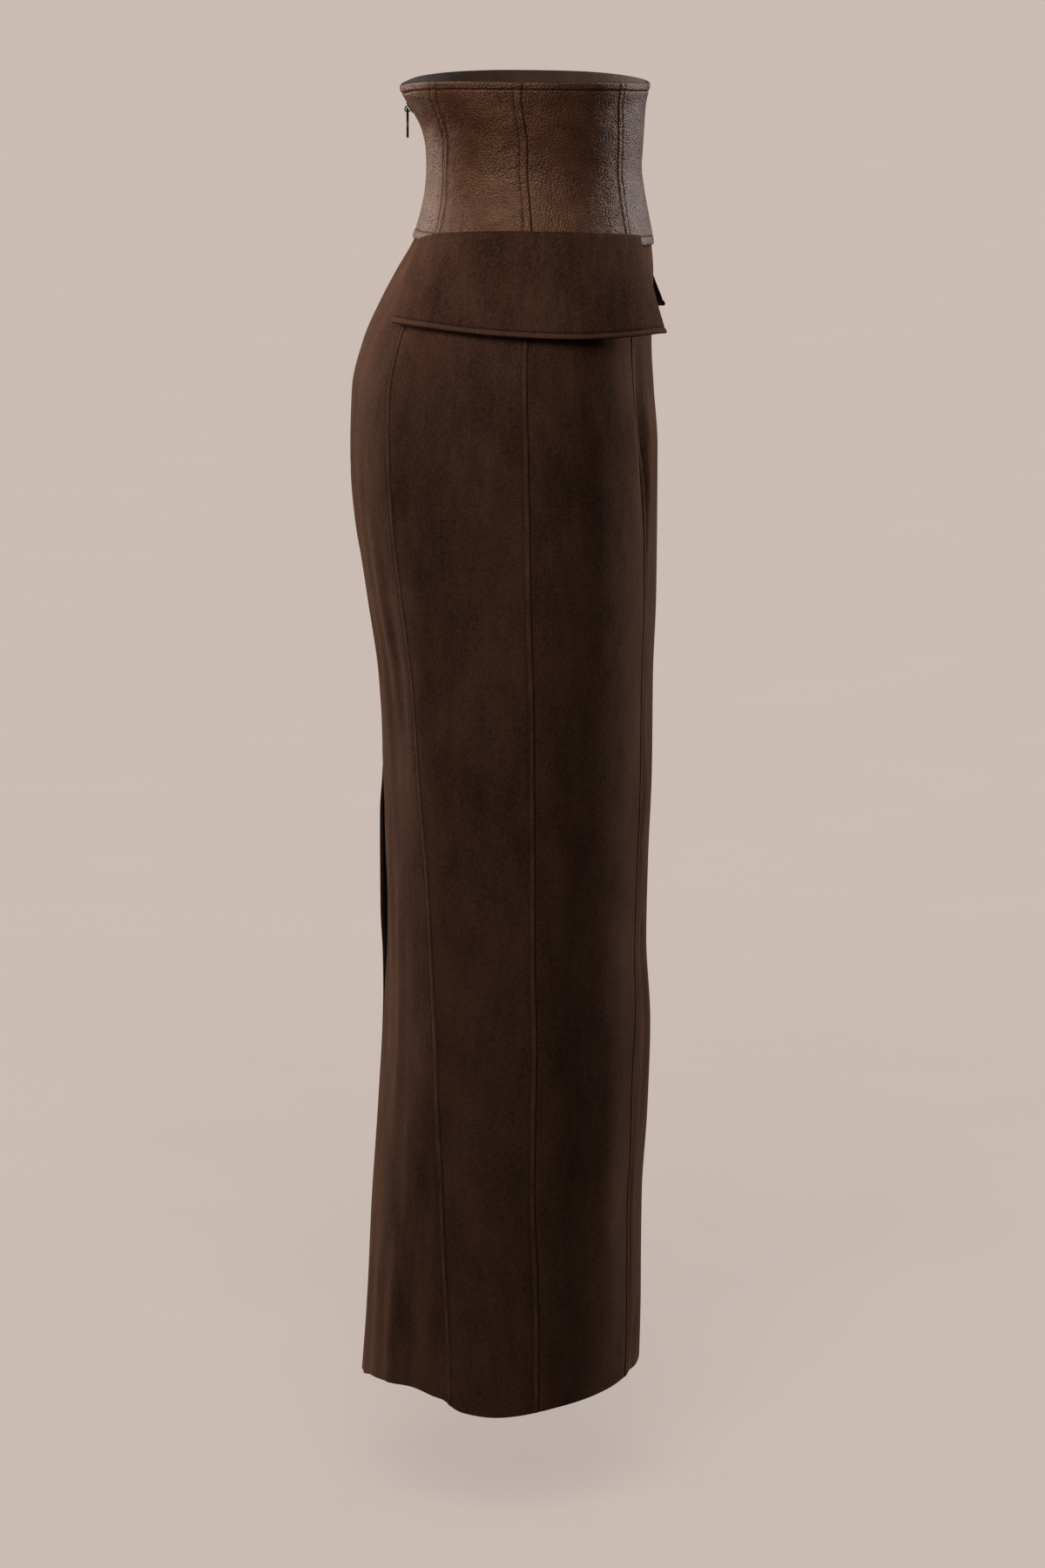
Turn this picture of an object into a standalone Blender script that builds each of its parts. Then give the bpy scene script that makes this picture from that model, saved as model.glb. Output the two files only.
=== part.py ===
"""A high-waisted maxi skirt: a shaped leather waist over a long suede skirt, with a turned-down suede flap
over each hip, a zip at the centre back and a centre-back slit.

The frame is in metres with +Z up. The skirt's front faces -Y and its own right side is at -X. The origin
is the centre of the narrowest section of the waist. Heights are measured from there.

A place on the cloth is given by two numbers. The height says how high it is. The share says how far round
it is, as a part of the half girth: 0 is the centre front, 1 the centre back, and the right half counts
negative. A lift then moves it off the cloth's face, along the face's normal.
"""
import math
from collections import namedtuple

import bmesh
import bpy
import numpy as np
from mathutils import Matrix, Vector

MM = 0.001

# Thicknesses and gaps
SEAM_GAP = 0.3 * MM
LEATHER_THICK = 1.8 * MM
SUEDE_THICK = 1.6 * MM
FLAP_THICK = 3.0 * MM
FLAP_CLEARANCE = 0.5 * MM
TAPE_THICK = 0.8 * MM
TAPE_WIDTH = 12.0 * MM
TAPE_SHOWS = 3.3 * MM            # how far the tape reaches past the cloth's edge
TAPE_STEP_START = 10.0 * MM      # above the suede's top the tape steps back from the leather
TAPE_STEP_END = 2.0 * MM
CHAIN_THICK = 1.9 * MM
CHAIN_HALF_WIDTH = 2.6 * MM
SEAM_LAP = 9.0 * MM              # how far the suede runs up behind the leather

# Heights along the zip
TAPE_TOP = 69.0 * MM
TAPE_FOOT = -270.0 * MM
CHAIN_TOP = 45.0 * MM
CHAIN_FOOT = -228.0 * MM
SLIDER_HEIGHT = 51.0 * MM

# Slider and pull
SLIDER_LENGTH = 10.4 * MM
SLIDER_SHOULDER = 7.6 * MM
SLIDER_MOUTH = 5.6 * MM
SLIDER_THICK = 2.7 * MM
BAIL_BORE = 1.75 * MM            # inner radius of the arch over the pull's crossbar
BAIL_THICK = 1.1 * MM
BAIL_WIDTH = 2.4 * MM
PULL_LENGTH = 24.5 * MM          # from the swing axis to the free end
PULL_THICK = 2.0 * MM
PULL_EYE_WIDTH = 5.6 * MM
PULL_TIP_WIDTH = 5.0 * MM
PULL_CROSSBAR = 1.1 * MM         # half thickness of the bar that the arch holds
EYE_LENGTH = 4.2 * MM            # from the swing axis to the far end of the eye
EYE_HALF_WIDTH = 1.7 * MM

# Mesh fineness: columns across each panel, rows down each part
COLUMNS = {"front": 8, "side_front": 5, "side_back": 5, "back": 6}
WAIST_ROWS = 8
SKIRT_ROWS = 25
FLAP_COLUMNS = 30
FLAP_ROWS = 6
SECTION_STEPS = 181
SLOPE_STEP = 2.0 * MM            # the step over which a slope is taken
SLOPE_SHARE = 0.004
SETTLING_ROUNDS = 6              # a row's heights and shares depend on each other, so they are found in turn

# The worn form in millimetres: where the suede's outer face and the leather's lining side lie. back and
# front are the section's reach along Y, side its half width, middle the Y of its widest place. A power of
# 2 is an ellipse, and a larger one is squarer.
Section = namedtuple("Section", "height back front side middle front_power back_power")
SECTIONS = [
    Section(80, 113.5, -97.8, 135.0, 3, 2.20, 2.15),
    Section(66, 112.5, -96.9, 132.0, 3, 2.20, 2.15),
    Section(55, 107.0, -94.6, 129.0, 3, 2.20, 2.15),
    Section(45, 100.8, -93.6, 127.0, 2, 2.20, 2.15),
    Section(32, 94.5, -92.8, 123.5, 1, 2.20, 2.15),
    Section(16, 91.2, -91.8, 119.5, 0, 2.20, 2.15),
    Section(0, 90.5, -90.8, 117.5, 0, 2.20, 2.15),
    Section(-20, 91.8, -93.0, 119.5, 0, 2.20, 2.15),
    Section(-42, 96.3, -97.0, 127.5, 1, 2.20, 2.20),
    Section(-63, 103.3, -100.8, 139.0, 3, 2.20, 2.25),
    Section(-90, 118.6, -103.0, 152.0, 6, 2.25, 2.30),
    Section(-115, 131.9, -102.6, 162.0, 8, 2.25, 2.35),
    Section(-150, 147.3, -101.6, 172.0, 10, 2.25, 2.40),
    Section(-190, 156.9, -103.6, 180.0, 12, 2.25, 2.40),
    Section(-240, 158.5, -107.0, 184.5, 12, 2.25, 2.40),
    Section(-300, 154.1, -106.8, 186.0, 12, 2.25, 2.40),
    Section(-370, 144.3, -106.1, 186.0, 13, 2.25, 2.35),
    Section(-440, 134.5, -103.5, 185.5, 14, 2.25, 2.30),
    Section(-520, 130.3, -102.8, 185.0, 16, 2.25, 2.30),
    Section(-600, 129.8, -99.6, 184.5, 18, 2.25, 2.30),
    Section(-670, 129.3, -98.2, 184.0, 19, 2.25, 2.30),
    Section(-740, 131.0, -101.6, 184.0, 20, 2.25, 2.30),
    Section(-820, 136.0, -98.4, 183.5, 23, 2.25, 2.30),
    Section(-900, 141.8, -93.8, 183.0, 27, 2.25, 2.25),
    Section(-980, 145.6, -94.0, 183.0, 31, 2.25, 2.25),
    Section(-1070, 152.2, -91.8, 183.0, 34, 2.25, 2.25),
]

# Where the seams run, as shares of the half girth at each height in millimetres
Seams = namedtuple("Seams", "height front side back")
SEAMS = [
    Seams(80, 0.267, 0.508, 0.723),
    Seams(40, 0.264, 0.515, 0.740),
    Seams(0, 0.259, 0.517, 0.762),
    Seams(-50, 0.256, 0.503, 0.750),
    Seams(-140, 0.229, 0.469, 0.726),
    Seams(-200, 0.218, 0.462, 0.721),
    Seams(-270, 0.196, 0.462, 0.717),
    Seams(-400, 0.188, 0.468, 0.711),
    Seams(-510, 0.190, 0.468, 0.698),
    Seams(-600, 0.188, 0.463, 0.671),
    Seams(-690, 0.196, 0.461, 0.656),
    Seams(-775, 0.216, 0.458, 0.641),
    Seams(-860, 0.201, 0.450, 0.618),
    Seams(-940, 0.198, 0.438, 0.603),
    Seams(-1060, 0.197, 0.427, 0.580),
]

# The edges that run round the garment: millimetres of height at each share
Edges = namedtuple("Edges", "share top waist_seam hem")
EDGES = [
    Edges(0.00, 71.6, -67.5, -1039),
    Edges(0.13, 72.7, -66.0, -1040),
    Edges(0.27, 75.0, -63.5, -1046),
    Edges(0.38, 76.4, -62.5, -1052),
    Edges(0.50, 77.0, -62.0, -1059),
    Edges(0.56, 77.2, -62.0, -1055),
    Edges(0.61, 77.0, -62.0, -1045),
    Edges(0.68, 76.4, -62.0, -1040),
    Edges(0.80, 74.2, -61.8, -1041),
    Edges(0.91, 70.7, -61.5, -1048),
    Edges(1.00, 69.5, -61.5, -1053),
]

# The two edges at the centre back, from the zip to the slit: millimetres from the centre line, and how
# far each edge stands out of the section. A lift fades out round the body over SLIT_REACH.
CentreBack = namedtuple("CentreBack", "height right_edge left_edge right_lift left_lift")
CENTRE_BACK = [
    CentreBack(80, 8.5, 8.5, 0.0, 0.0),
    CentreBack(60, 5.6, 5.6, 0.0, 0.0),
    CentreBack(46, 3.6, 3.6, 0.0, 0.0),
    CentreBack(-236, 3.6, 3.6, 0.0, 0.0),
    CentreBack(-266, 0.15, 0.15, 0.0, 0.0),
    CentreBack(-495, 0.15, 0.15, 0.0, 0.0),
    CentreBack(-530, 4.0, 5.0, -3.0, 1.8),
    CentreBack(-560, 9.0, 9.0, -4.8, 4.3),
    CentreBack(-600, 10.0, 12.0, -4.6, 4.9),
    CentreBack(-645, 10.0, 12.0, -3.3, 5.0),
    CentreBack(-690, 10.0, 12.0, -1.4, 2.8),
    CentreBack(-730, 10.0, 12.0, 0.0, 1.4),
    CentreBack(-900, 12.0, 13.0, 0.0, 1.0),
    CentreBack(-1070, 13.0, 15.0, 0.0, 1.0),
]
SLIT_REACH = 45.0 * MM

# Soft folds of the hanging cloth. Each runs from its top to its foot, heights in millimetres, between two
# shares, with a half width and a lift in millimetres. A negative lift is a trough.
Fold = namedtuple("Fold", "top foot top_share foot_share width lift")
FOLDS = [
    Fold(-120, -360, -0.160, -0.178, 11, 2.2),
    Fold(-120, -330, -0.205, -0.200, 8, -1.8),
    Fold(-190, -420, -0.860, -0.838, 16, 1.8),
    Fold(-760, -1190, -0.800, -0.800, 20, 3.4),
    Fold(-790, -1200, -0.694, -0.674, 24, -5.0),
    Fold(-840, -1060, -0.640, -0.648, 12, 2.0),
    Fold(-900, -1180, -0.560, -0.545, 26, 3.2),
    Fold(-640, -880, -0.150, -0.100, 26, 2.0),
    Fold(-120, -340, 0.170, 0.185, 12, 2.0),
    Fold(-200, -400, 0.845, 0.830, 15, 1.6),
    Fold(-700, -1180, 0.770, 0.790, 22, 3.6),
    Fold(-820, -1200, 0.665, 0.650, 23, -4.4),
    Fold(-880, -1180, 0.540, 0.525, 27, 3.0),
    Fold(-600, -900, 0.110, 0.150, 25, 1.8),
]

# The hip flaps from their back edge, place 0, to their front edge, place 1. The edges are heights in
# millimetres, and the lifts say how far the lining side stands off the skirt along the lower edge.
Flap = namedtuple("Flap", "place top right_foot left_foot right_lift left_lift")
FLAP = [
    Flap(0.00, -59.8, -130.0, -129.0, 3.2, 3.2),
    Flap(0.17, -53.5, -132.0, -131.0, 4.0, 4.2),
    Flap(0.45, -50.6, -137.5, -135.0, 6.5, 7.5),
    Flap(0.70, -51.8, -140.5, -136.5, 9.5, 11.0),
    Flap(0.85, -53.5, -139.5, -133.5, 16.5, 18.5),
    Flap(1.00, -56.4, -137.0, -128.5, 26.5, 29.5),
]
FLAP_BACK_SHARES = (0.832, 0.757)      # of the back edge, at the top and at the foot
FLAP_FRONT_SHARES = (0.203, 0.212)     # of the front edge, at the top and at the foot
FLAP_KICK = 1.45                       # over 1, the flap leaves the skirt slowly at first

# Finishes: linear colour, roughness, metallic
Finish = namedtuple("Finish", "colour roughness metallic")
LEATHER = Finish((0.080, 0.044, 0.027), 0.48, 0.0)
SUEDE = Finish((0.040, 0.022, 0.015), 0.92, 0.0)
TAPE = Finish((0.018, 0.011, 0.008), 0.85, 0.0)
METAL = Finish((0.090, 0.075, 0.060), 0.34, 1.0)


# Reading the tables

def smooth(table, column, at):
    """A table's column at any place along its first column, on a curve that never overshoots a row."""
    rows = sorted(table)
    places = np.array([row[0] for row in rows], float)
    values = np.array([getattr(row, column) for row in rows], float)
    steps = np.diff(places)
    slopes = np.diff(values) / steps
    product = slopes[:-1] * slopes[1:]
    total = np.where(product > 0, slopes[:-1] + slopes[1:], 1.0)
    tangents = np.concatenate(([slopes[0]], np.where(product > 0, 2 * product / total, 0.0), [slopes[-1]]))
    at = np.clip(at, places[0], places[-1])
    row = np.clip(np.searchsorted(places, at, side="right") - 1, 0, len(steps) - 1)
    t = (at - places[row]) / steps[row]
    start = (1 + 2 * t) * (1 - t) ** 2 * values[row] + t * (1 - t) ** 2 * steps[row] * tangents[row]
    end = t * t * (3 - 2 * t) * values[row + 1] + t * t * (t - 1) * steps[row] * tangents[row + 1]
    return start + end


def along_height(table, column, heights):
    """A column in metres, read at heights in metres."""
    return smooth(table, column, np.asarray(heights, float) / MM) * MM


def edge_height(name, shares):
    """The height in metres of one of the edges that run round the garment."""
    return smooth(EDGES, name, np.abs(shares)) * MM


# The worn form

TURN = np.linspace(0.0, math.pi, SECTION_STEPS)    # from the centre front round to the centre back


def half_sections(heights):
    """The half section at each height: its x, its y and the length run from the centre front."""
    column = {name: smooth(SECTIONS, name, heights / MM)[:, None] for name in Section._fields[1:]}
    in_front = TURN < math.pi / 2
    power = np.where(in_front, column["front_power"], column["back_power"])
    reach = np.where(in_front, column["middle"] - column["front"], column["back"] - column["middle"])
    across = (np.sin(TURN) / column["side"]) ** power
    along = (np.abs(np.cos(TURN)) / reach) ** power
    radius = (across + along) ** (-1 / power)
    x = radius * np.sin(TURN) * MM
    y = (column["middle"] - radius * np.cos(TURN)) * MM
    step = np.hypot(np.diff(x, axis=1), np.diff(y, axis=1))
    run = np.concatenate((np.zeros((len(x), 1)), np.cumsum(step, axis=1)), axis=1)
    return x, y, run


def half_girth(heights):
    """Half the way round the garment at each height."""
    return half_sections(np.atleast_1d(np.asarray(heights, float)))[2][:, -1]


def fold_lift(shares, heights, half):
    """How far the folds and the parted slit move the cloth out of its section."""
    lift = np.zeros_like(heights)
    for fold in FOLDS:
        down = np.clip((fold.top * MM - heights) / ((fold.top - fold.foot) * MM), 0.0, 1.0)
        centre = fold.top_share + (fold.foot_share - fold.top_share) * down
        aside = (shares - centre) * half / (fold.width * MM)
        lift += fold.lift * MM * np.sin(math.pi * down) ** 2 * np.exp(-aside ** 2)
    from_centre_back = (1 - np.abs(shares)) * half / SLIT_REACH
    slit = np.where(shares < 0, along_height(CENTRE_BACK, "right_lift", heights),
                    along_height(CENTRE_BACK, "left_lift", heights))
    return lift + slit * np.exp(-from_centre_back ** 2)


def skin(shares, heights):
    """Points on the cloth's face, folds included, one for each share and height."""
    x, y, run = half_sections(heights)
    half = run[:, -1]
    want = np.abs(shares) * half

    def read(values, offset):
        wanted = np.clip(want + offset, 0.0, half)
        return np.array([np.interp(w, r, v) for w, r, v in zip(wanted, run, values)])

    across = read(x, SLOPE_STEP) - read(x, -SLOPE_STEP)
    along = read(y, SLOPE_STEP) - read(y, -SLOPE_STEP)
    length = np.hypot(across, along)
    lift = fold_lift(shares, heights, half)
    hand = np.where(shares < 0, -1.0, 1.0)
    point_x = hand * (read(x, 0.0) + along / length * lift)
    point_y = read(y, 0.0) - across / length * lift
    return np.stack((point_x, point_y, heights), axis=1)


def normals(shares, heights):
    """Outward normals of the cloth's face, taken from its slopes."""
    low = np.where(shares < 0, -1.0, 0.0)
    around = (skin(np.clip(shares + SLOPE_SHARE, low, low + 1), heights)
              - skin(np.clip(shares - SLOPE_SHARE, low, low + 1), heights))
    up = skin(shares, heights + SLOPE_STEP) - skin(shares, heights - SLOPE_STEP)
    normal = np.cross(around, up)
    return normal / np.linalg.norm(normal, axis=1)[:, None]


def lifted(shares, heights, lift):
    """Points that stand off the cloth's face by a lift."""
    shares = np.asarray(shares, float)
    heights = np.asarray(heights, float)
    flat_shares = shares.ravel()
    flat_heights = heights.ravel()
    lift = np.broadcast_to(lift, shares.shape).ravel()
    points = skin(flat_shares, flat_heights) + normals(flat_shares, flat_heights) * lift[:, None]
    return points.reshape(shares.shape + (3,))


# Making objects

def principled(name, finish):
    """The object's own material."""
    material = bpy.data.materials.new(name)
    material.use_nodes = True
    shader = material.node_tree.nodes["Principled BSDF"]
    shader.inputs["Base Color"].default_value = (*finish.colour, 1.0)
    shader.inputs["Roughness"].default_value = finish.roughness
    shader.inputs["Metallic"].default_value = finish.metallic
    material.diffuse_color = (*finish.colour, 1.0)
    return material


def add_object(name, shape, finish):
    """Turn a bmesh into an object with its own material."""
    mesh = bpy.data.meshes.new(name)
    bmesh.ops.recalc_face_normals(shape, faces=shape.faces)
    shape.to_mesh(mesh)
    shape.free()
    mesh.shade_smooth()
    mesh.set_sharp_from_angle(angle=math.radians(40))
    mesh.materials.append(principled(name, finish))
    thing = bpy.data.objects.new(name, mesh)
    bpy.context.collection.objects.link(thing)
    return thing


def wall(name, outer, inner, finish):
    """A closed wall of cloth between two grids of points with the same rows and columns."""
    shape = bmesh.new()
    rows, columns = outer.shape[:2]
    faces = {}
    for side, grid in (("outer", outer), ("inner", inner)):
        for r in range(rows):
            for c in range(columns):
                faces[side, r, c] = shape.verts.new(grid[r, c])
    for r in range(rows - 1):
        for c in range(columns - 1):
            corners = ((r, c), (r, c + 1), (r + 1, c + 1), (r + 1, c))
            shape.faces.new([faces["outer", *corner] for corner in corners])
            shape.faces.new([faces["inner", *corner] for corner in corners[::-1]])
    rim = [(0, c) for c in range(columns - 1)]
    rim += [(r, columns - 1) for r in range(rows - 1)]
    rim += [(rows - 1, c) for c in range(columns - 1, 0, -1)]
    rim += [(r, 0) for r in range(rows - 1, 0, -1)]
    for here, after in zip(rim, rim[1:] + rim[:1]):
        shape.faces.new((faces["outer", *here], faces["inner", *here],
                         faces["inner", *after], faces["outer", *after]))
    bmesh.ops.triangulate(shape, faces=shape.faces, quad_method="FIXED")
    return add_object(name, shape, finish)


# Panels

def seam_share(name, heights, hand):
    """The signed share where a panel ends: a seam less half its gap, or the edge at the centre back."""
    if name == "centre_back":
        column = "right_edge" if hand < 0 else "left_edge"
        return hand * (1 - along_height(CENTRE_BACK, column, heights) / half_girth(heights))
    return hand * smooth(SEAMS, name, heights / MM)


PANELS = {
    "front": ("front", "front"),
    "side_front": ("front", "side"),
    "side_back": ("side", "back"),
    "back": ("back", "centre_back"),
}


def panel_grid(panel, hand, row_lines):
    """Shares and heights of a panel's grid. row_lines gives each row's height from the shares."""
    first, last = PANELS[panel]
    first_hand = -1 if panel == "front" else hand
    last_hand = 1 if panel == "front" else hand
    across = np.linspace(0.0, 1.0, COLUMNS[panel] + 1)
    shares = np.zeros((len(row_lines), len(across)))
    heights = np.zeros_like(shares)
    for r, line in enumerate(row_lines):
        share = np.full(len(across), 0.5)
        for _ in range(SETTLING_ROUNDS):
            height = line(share)
            half = half_girth(height)
            start = seam_share(first, height, first_hand)
            end = seam_share(last, height, last_hand)
            toward_end = np.sign(end - start)
            start = start + toward_end * SEAM_GAP / 2 / half
            if last != "centre_back":
                end = end - toward_end * SEAM_GAP / 2 / half
            share = start + (end - start) * across
        shares[r] = share
        heights[r] = line(share)
    return shares, heights


def waist_rows():
    """Rows of the leather: from the top edge to the lap line, then the lower edge."""
    def row(part):
        def line(shares):
            top = edge_height("top", shares)
            lap = edge_height("waist_seam", shares) + SEAM_LAP
            return top + (lap - top) * part
        return line
    rows = [row(part) for part in np.linspace(0.0, 1.0, WAIST_ROWS)]
    return rows + [lambda shares: edge_height("waist_seam", shares)]


def skirt_rows():
    """Rows of the suede: behind the leather, along the waist seam, then down to the hem."""
    def row(part):
        spread = part * (0.6 + 0.4 * part)

        def line(shares):
            seam = edge_height("waist_seam", shares)
            return seam + (edge_height("hem", shares) - seam) * spread
        return line
    rows = [lambda shares: edge_height("waist_seam", shares) + SEAM_LAP]
    return rows + [row(part) for part in np.linspace(0.0, 1.0, SKIRT_ROWS)]


def make_panels(prefix, row_lines, lining_lift, face_lift, finish):
    """All the panels of the waist or of the skirt."""
    for panel in PANELS:
        hands = (("", 1),) if panel == "front" else (("_right", -1), ("_left", 1))
        for suffix, hand in hands:
            shares, heights = panel_grid(panel, hand, row_lines)
            wall(f"{prefix}_{panel}{suffix}", lifted(shares, heights, face_lift),
                 lifted(shares, heights, lining_lift), finish)


def make_flap(name, hand):
    """A double-layer flap, sewn over the foot of the leather and standing away towards its front corner."""
    foot_column, lift_column = ("right_foot", "right_lift") if hand < 0 else ("left_foot", "left_lift")
    places = np.linspace(0.0, 1.0, FLAP_COLUMNS + 1)
    down = np.linspace(0.0, 1.0, FLAP_ROWS + 1)[:, None]
    top = smooth(FLAP, "top", places) * MM
    foot = smooth(FLAP, foot_column, places) * MM
    heights = top + (foot - top) * down
    back = FLAP_BACK_SHARES[0] + (FLAP_BACK_SHARES[1] - FLAP_BACK_SHARES[0]) * down
    front = FLAP_FRONT_SHARES[0] + (FLAP_FRONT_SHARES[1] - FLAP_FRONT_SHARES[0]) * down
    shares = hand * (back + (front - back) * places)
    top_lift = SEAM_GAP + LEATHER_THICK + FLAP_CLEARANCE
    foot_lift = smooth(FLAP, lift_column, places) * MM
    lift = top_lift + (foot_lift - top_lift) * down ** FLAP_KICK
    wall(name, lifted(shares, heights, lift + FLAP_THICK), lifted(shares, heights, lift), SUEDE)


# The zip

def centre_back_grid(laterals, heights, lift):
    """Points near the centre back: laterals are metres to the left of the centre line."""
    laterals = np.asarray(laterals, float)
    heights = np.broadcast_to(heights, laterals.shape)
    half = half_girth(heights.ravel()).reshape(laterals.shape)
    hand = np.where(laterals < 0, -1.0, 1.0)
    return lifted(hand * (1 - np.abs(laterals) / half), heights, lift)


def tape_lift(heights):
    """The tape's face: close behind the leather, and lower down close behind the suede."""
    behind_leather = -SEAM_GAP
    behind_suede = -(SUEDE_THICK + SEAM_GAP)
    suede_top = edge_height("waist_seam", 1.0) + SEAM_LAP
    start = suede_top + TAPE_STEP_START
    end = suede_top + TAPE_STEP_END
    part = np.clip((start - heights) / (start - end), 0.0, 1.0)
    return behind_leather + (behind_suede - behind_leather) * part * part * (3 - 2 * part)


def zip_rows(*ends):
    """The panels' own row heights at the centre back, so that what lies behind them keeps its gap."""
    centre_back = np.ones(1)
    lines = waist_rows()[:-1] + skirt_rows()[1:]
    heights = [float(line(centre_back)[0]) for line in lines]
    inside = [height for height in heights if ends[-1] <= height < ends[0]]
    return np.array(sorted({*ends, *inside}, reverse=True))[:, None]


def make_tape(name, hand):
    """One half of the zip's tape, sewn behind the centre-back edge, parted above the slider."""
    rows = zip_rows(TAPE_TOP, CHAIN_TOP, TAPE_FOOT)[:-1]
    parted = along_height(CENTRE_BACK, "right_edge", rows) - TAPE_SHOWS
    inner_edge = np.maximum(parted, SEAM_GAP)
    laterals = inner_edge + (TAPE_WIDTH - SEAM_GAP) * np.array([[0.0, 0.5, 1.0]])
    lift = tape_lift(np.broadcast_to(rows, laterals.shape))
    wall(name, centre_back_grid(hand * laterals, rows, lift),
         centre_back_grid(hand * laterals, rows, lift - TAPE_THICK), TAPE)


def make_chain(name):
    """The meshed teeth as one strip, from the slider's mouth to the foot of the zip."""
    rows = zip_rows(CHAIN_TOP, CHAIN_FOOT)
    laterals = np.broadcast_to(np.array([[-1.0, 0.0, 1.0]]) * CHAIN_HALF_WIDTH, (len(rows), 3))
    lift = tape_lift(np.broadcast_to(rows, laterals.shape)) + SEAM_GAP
    wall(name, centre_back_grid(laterals, rows, lift + CHAIN_THICK),
         centre_back_grid(laterals, rows, lift), METAL)


def slider_frame():
    """The slider's axes: X across the back, Y up along the zip, Z out of the cloth, from the cloth's face."""
    height = np.array([SLIDER_HEIGHT])
    share = np.array([1.0])
    origin = Vector(skin(share, height)[0])
    out = Vector(normals(share, height)[0])
    origin.x = 0
    out.x = 0
    out.normalize()
    across = Vector((-1, 0, 0))
    up = out.cross(across).normalized()
    frame = Matrix((across, up, out)).transposed().to_4x4()
    frame.translation = origin
    return frame


def prism(outline, low, high):
    """A closed prism: an outline of (a, b) points, drawn between two levels."""
    shape = bmesh.new()
    base = [shape.verts.new((a, b, low)) for a, b in outline]
    bottom = shape.faces.new(base)
    grown = bmesh.ops.extrude_face_region(shape, geom=[bottom])
    risen = [item for item in grown["geom"] if isinstance(item, bmesh.types.BMVert)]
    bmesh.ops.translate(shape, verts=risen, vec=(0, 0, high - low))
    bmesh.ops.recalc_face_normals(shape, faces=shape.faces)
    return shape


def arc(radius, start, end, steps, centre=(0.0, 0.0)):
    """Points on an arc, angles in degrees."""
    angles = [math.radians(start + (end - start) * i / steps) for i in range(steps + 1)]
    return [(centre[0] + radius * math.cos(a), centre[1] + radius * math.sin(a)) for a in angles]


def hidden_tool(name, shape):
    """An object that only cuts or joins."""
    tool = add_object(name, shape, METAL)
    tool.hide_render = True
    tool.display_type = "WIRE"
    return tool


def boolean(thing, tool, operation):
    """Cut or join with a tool, as a modifier."""
    modifier = thing.modifiers.new(tool.name, "BOOLEAN")
    modifier.operation = operation
    modifier.object = tool
    modifier.solver = "EXACT"


def make_slider(name):
    """The slider: a body that narrows from its shoulders to its mouth, and the arch that holds the pull."""
    half = SLIDER_LENGTH / 2
    shoulder = SLIDER_SHOULDER / 2
    mouth = SLIDER_MOUTH / 2
    right_side = [(mouth * 0.8, -half), (mouth, -half * 0.8), (mouth, -half * 0.2),
                  (shoulder, half * 0.45), (shoulder * 0.85, half * 0.85), (shoulder * 0.45, half)]
    outline = right_side + [(-a, b) for a, b in reversed(right_side)]
    frame = slider_frame()
    body = add_object(name, prism(outline, SEAM_GAP, SEAM_GAP + SLIDER_THICK), METAL)
    body.matrix_world = frame
    outside = BAIL_BORE + BAIL_THICK
    foot = -(BAIL_BORE + 0.5 * MM)
    profile = [(outside, foot)] + arc(outside, 0, 180, 12) + [(-outside, foot), (-BAIL_BORE, foot)]
    profile += arc(BAIL_BORE, 180, 0, 10) + [(BAIL_BORE, foot)]
    bail = hidden_tool(name + "_bail", prism(profile, -BAIL_WIDTH / 2, BAIL_WIDTH / 2))
    stand = Matrix(((0, 0, 1), (1, 0, 0), (0, 1, 0))).to_4x4()
    stand.translation = Vector((0, 0, SEAM_GAP + SLIDER_THICK + BAIL_BORE))
    bail.matrix_world = frame @ stand
    boolean(body, bail, "UNION")
    return body


def swing_point():
    """The centre of the arch, where the pull's crossbar turns."""
    return slider_frame() @ Vector((0, 0, SEAM_GAP + SLIDER_THICK + BAIL_BORE))


def make_pull(name):
    """The pull tab, hanging plumb from its crossbar, with its origin on the swing axis."""
    tip = PULL_TIP_WIDTH / 2
    eye = PULL_EYE_WIDTH / 2
    right_side = [(eye * 0.8, PULL_CROSSBAR), (eye, PULL_CROSSBAR * 0.3), (eye, -EYE_LENGTH * 0.9),
                  (tip * 0.72, -EYE_LENGTH * 1.55), (tip * 0.72, -PULL_LENGTH * 0.45),
                  (tip, -PULL_LENGTH * 0.62), (tip, -PULL_LENGTH + tip)]
    outline = right_side + arc(tip, 0, -180, 8, (0.0, -PULL_LENGTH + tip))[1:-1]
    outline += [(-a, b) for a, b in reversed(right_side)]
    pull = add_object(name, prism(outline, -PULL_THICK / 2, PULL_THICK / 2), METAL)
    window = [(EYE_HALF_WIDTH, -EYE_LENGTH), (EYE_HALF_WIDTH, -PULL_CROSSBAR),
              (-EYE_HALF_WIDTH, -PULL_CROSSBAR), (-EYE_HALF_WIDTH, -EYE_LENGTH)]
    cutter = hidden_tool(name + "_eye", prism(window, -PULL_THICK, PULL_THICK))
    boolean(pull, cutter, "DIFFERENCE")
    hang = Matrix(((1, 0, 0), (0, 0, -1), (0, 1, 0))).to_4x4()
    hang.translation = swing_point()
    pull.matrix_world = hang
    cutter.matrix_world = hang
    return pull


def main():
    for thing in list(bpy.data.objects):
        bpy.data.objects.remove(thing, do_unlink=True)
    make_panels("waist", waist_rows(), SEAM_GAP, SEAM_GAP + LEATHER_THICK, LEATHER)
    make_panels("skirt", skirt_rows(), -SUEDE_THICK, 0.0, SUEDE)
    make_flap("flap_right", -1)
    make_flap("flap_left", 1)
    make_tape("zip_tape_right", -1)
    make_tape("zip_tape_left", 1)
    make_chain("zip_chain")
    make_slider("zip_slider")
    make_pull("zip_pull")


main()
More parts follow.
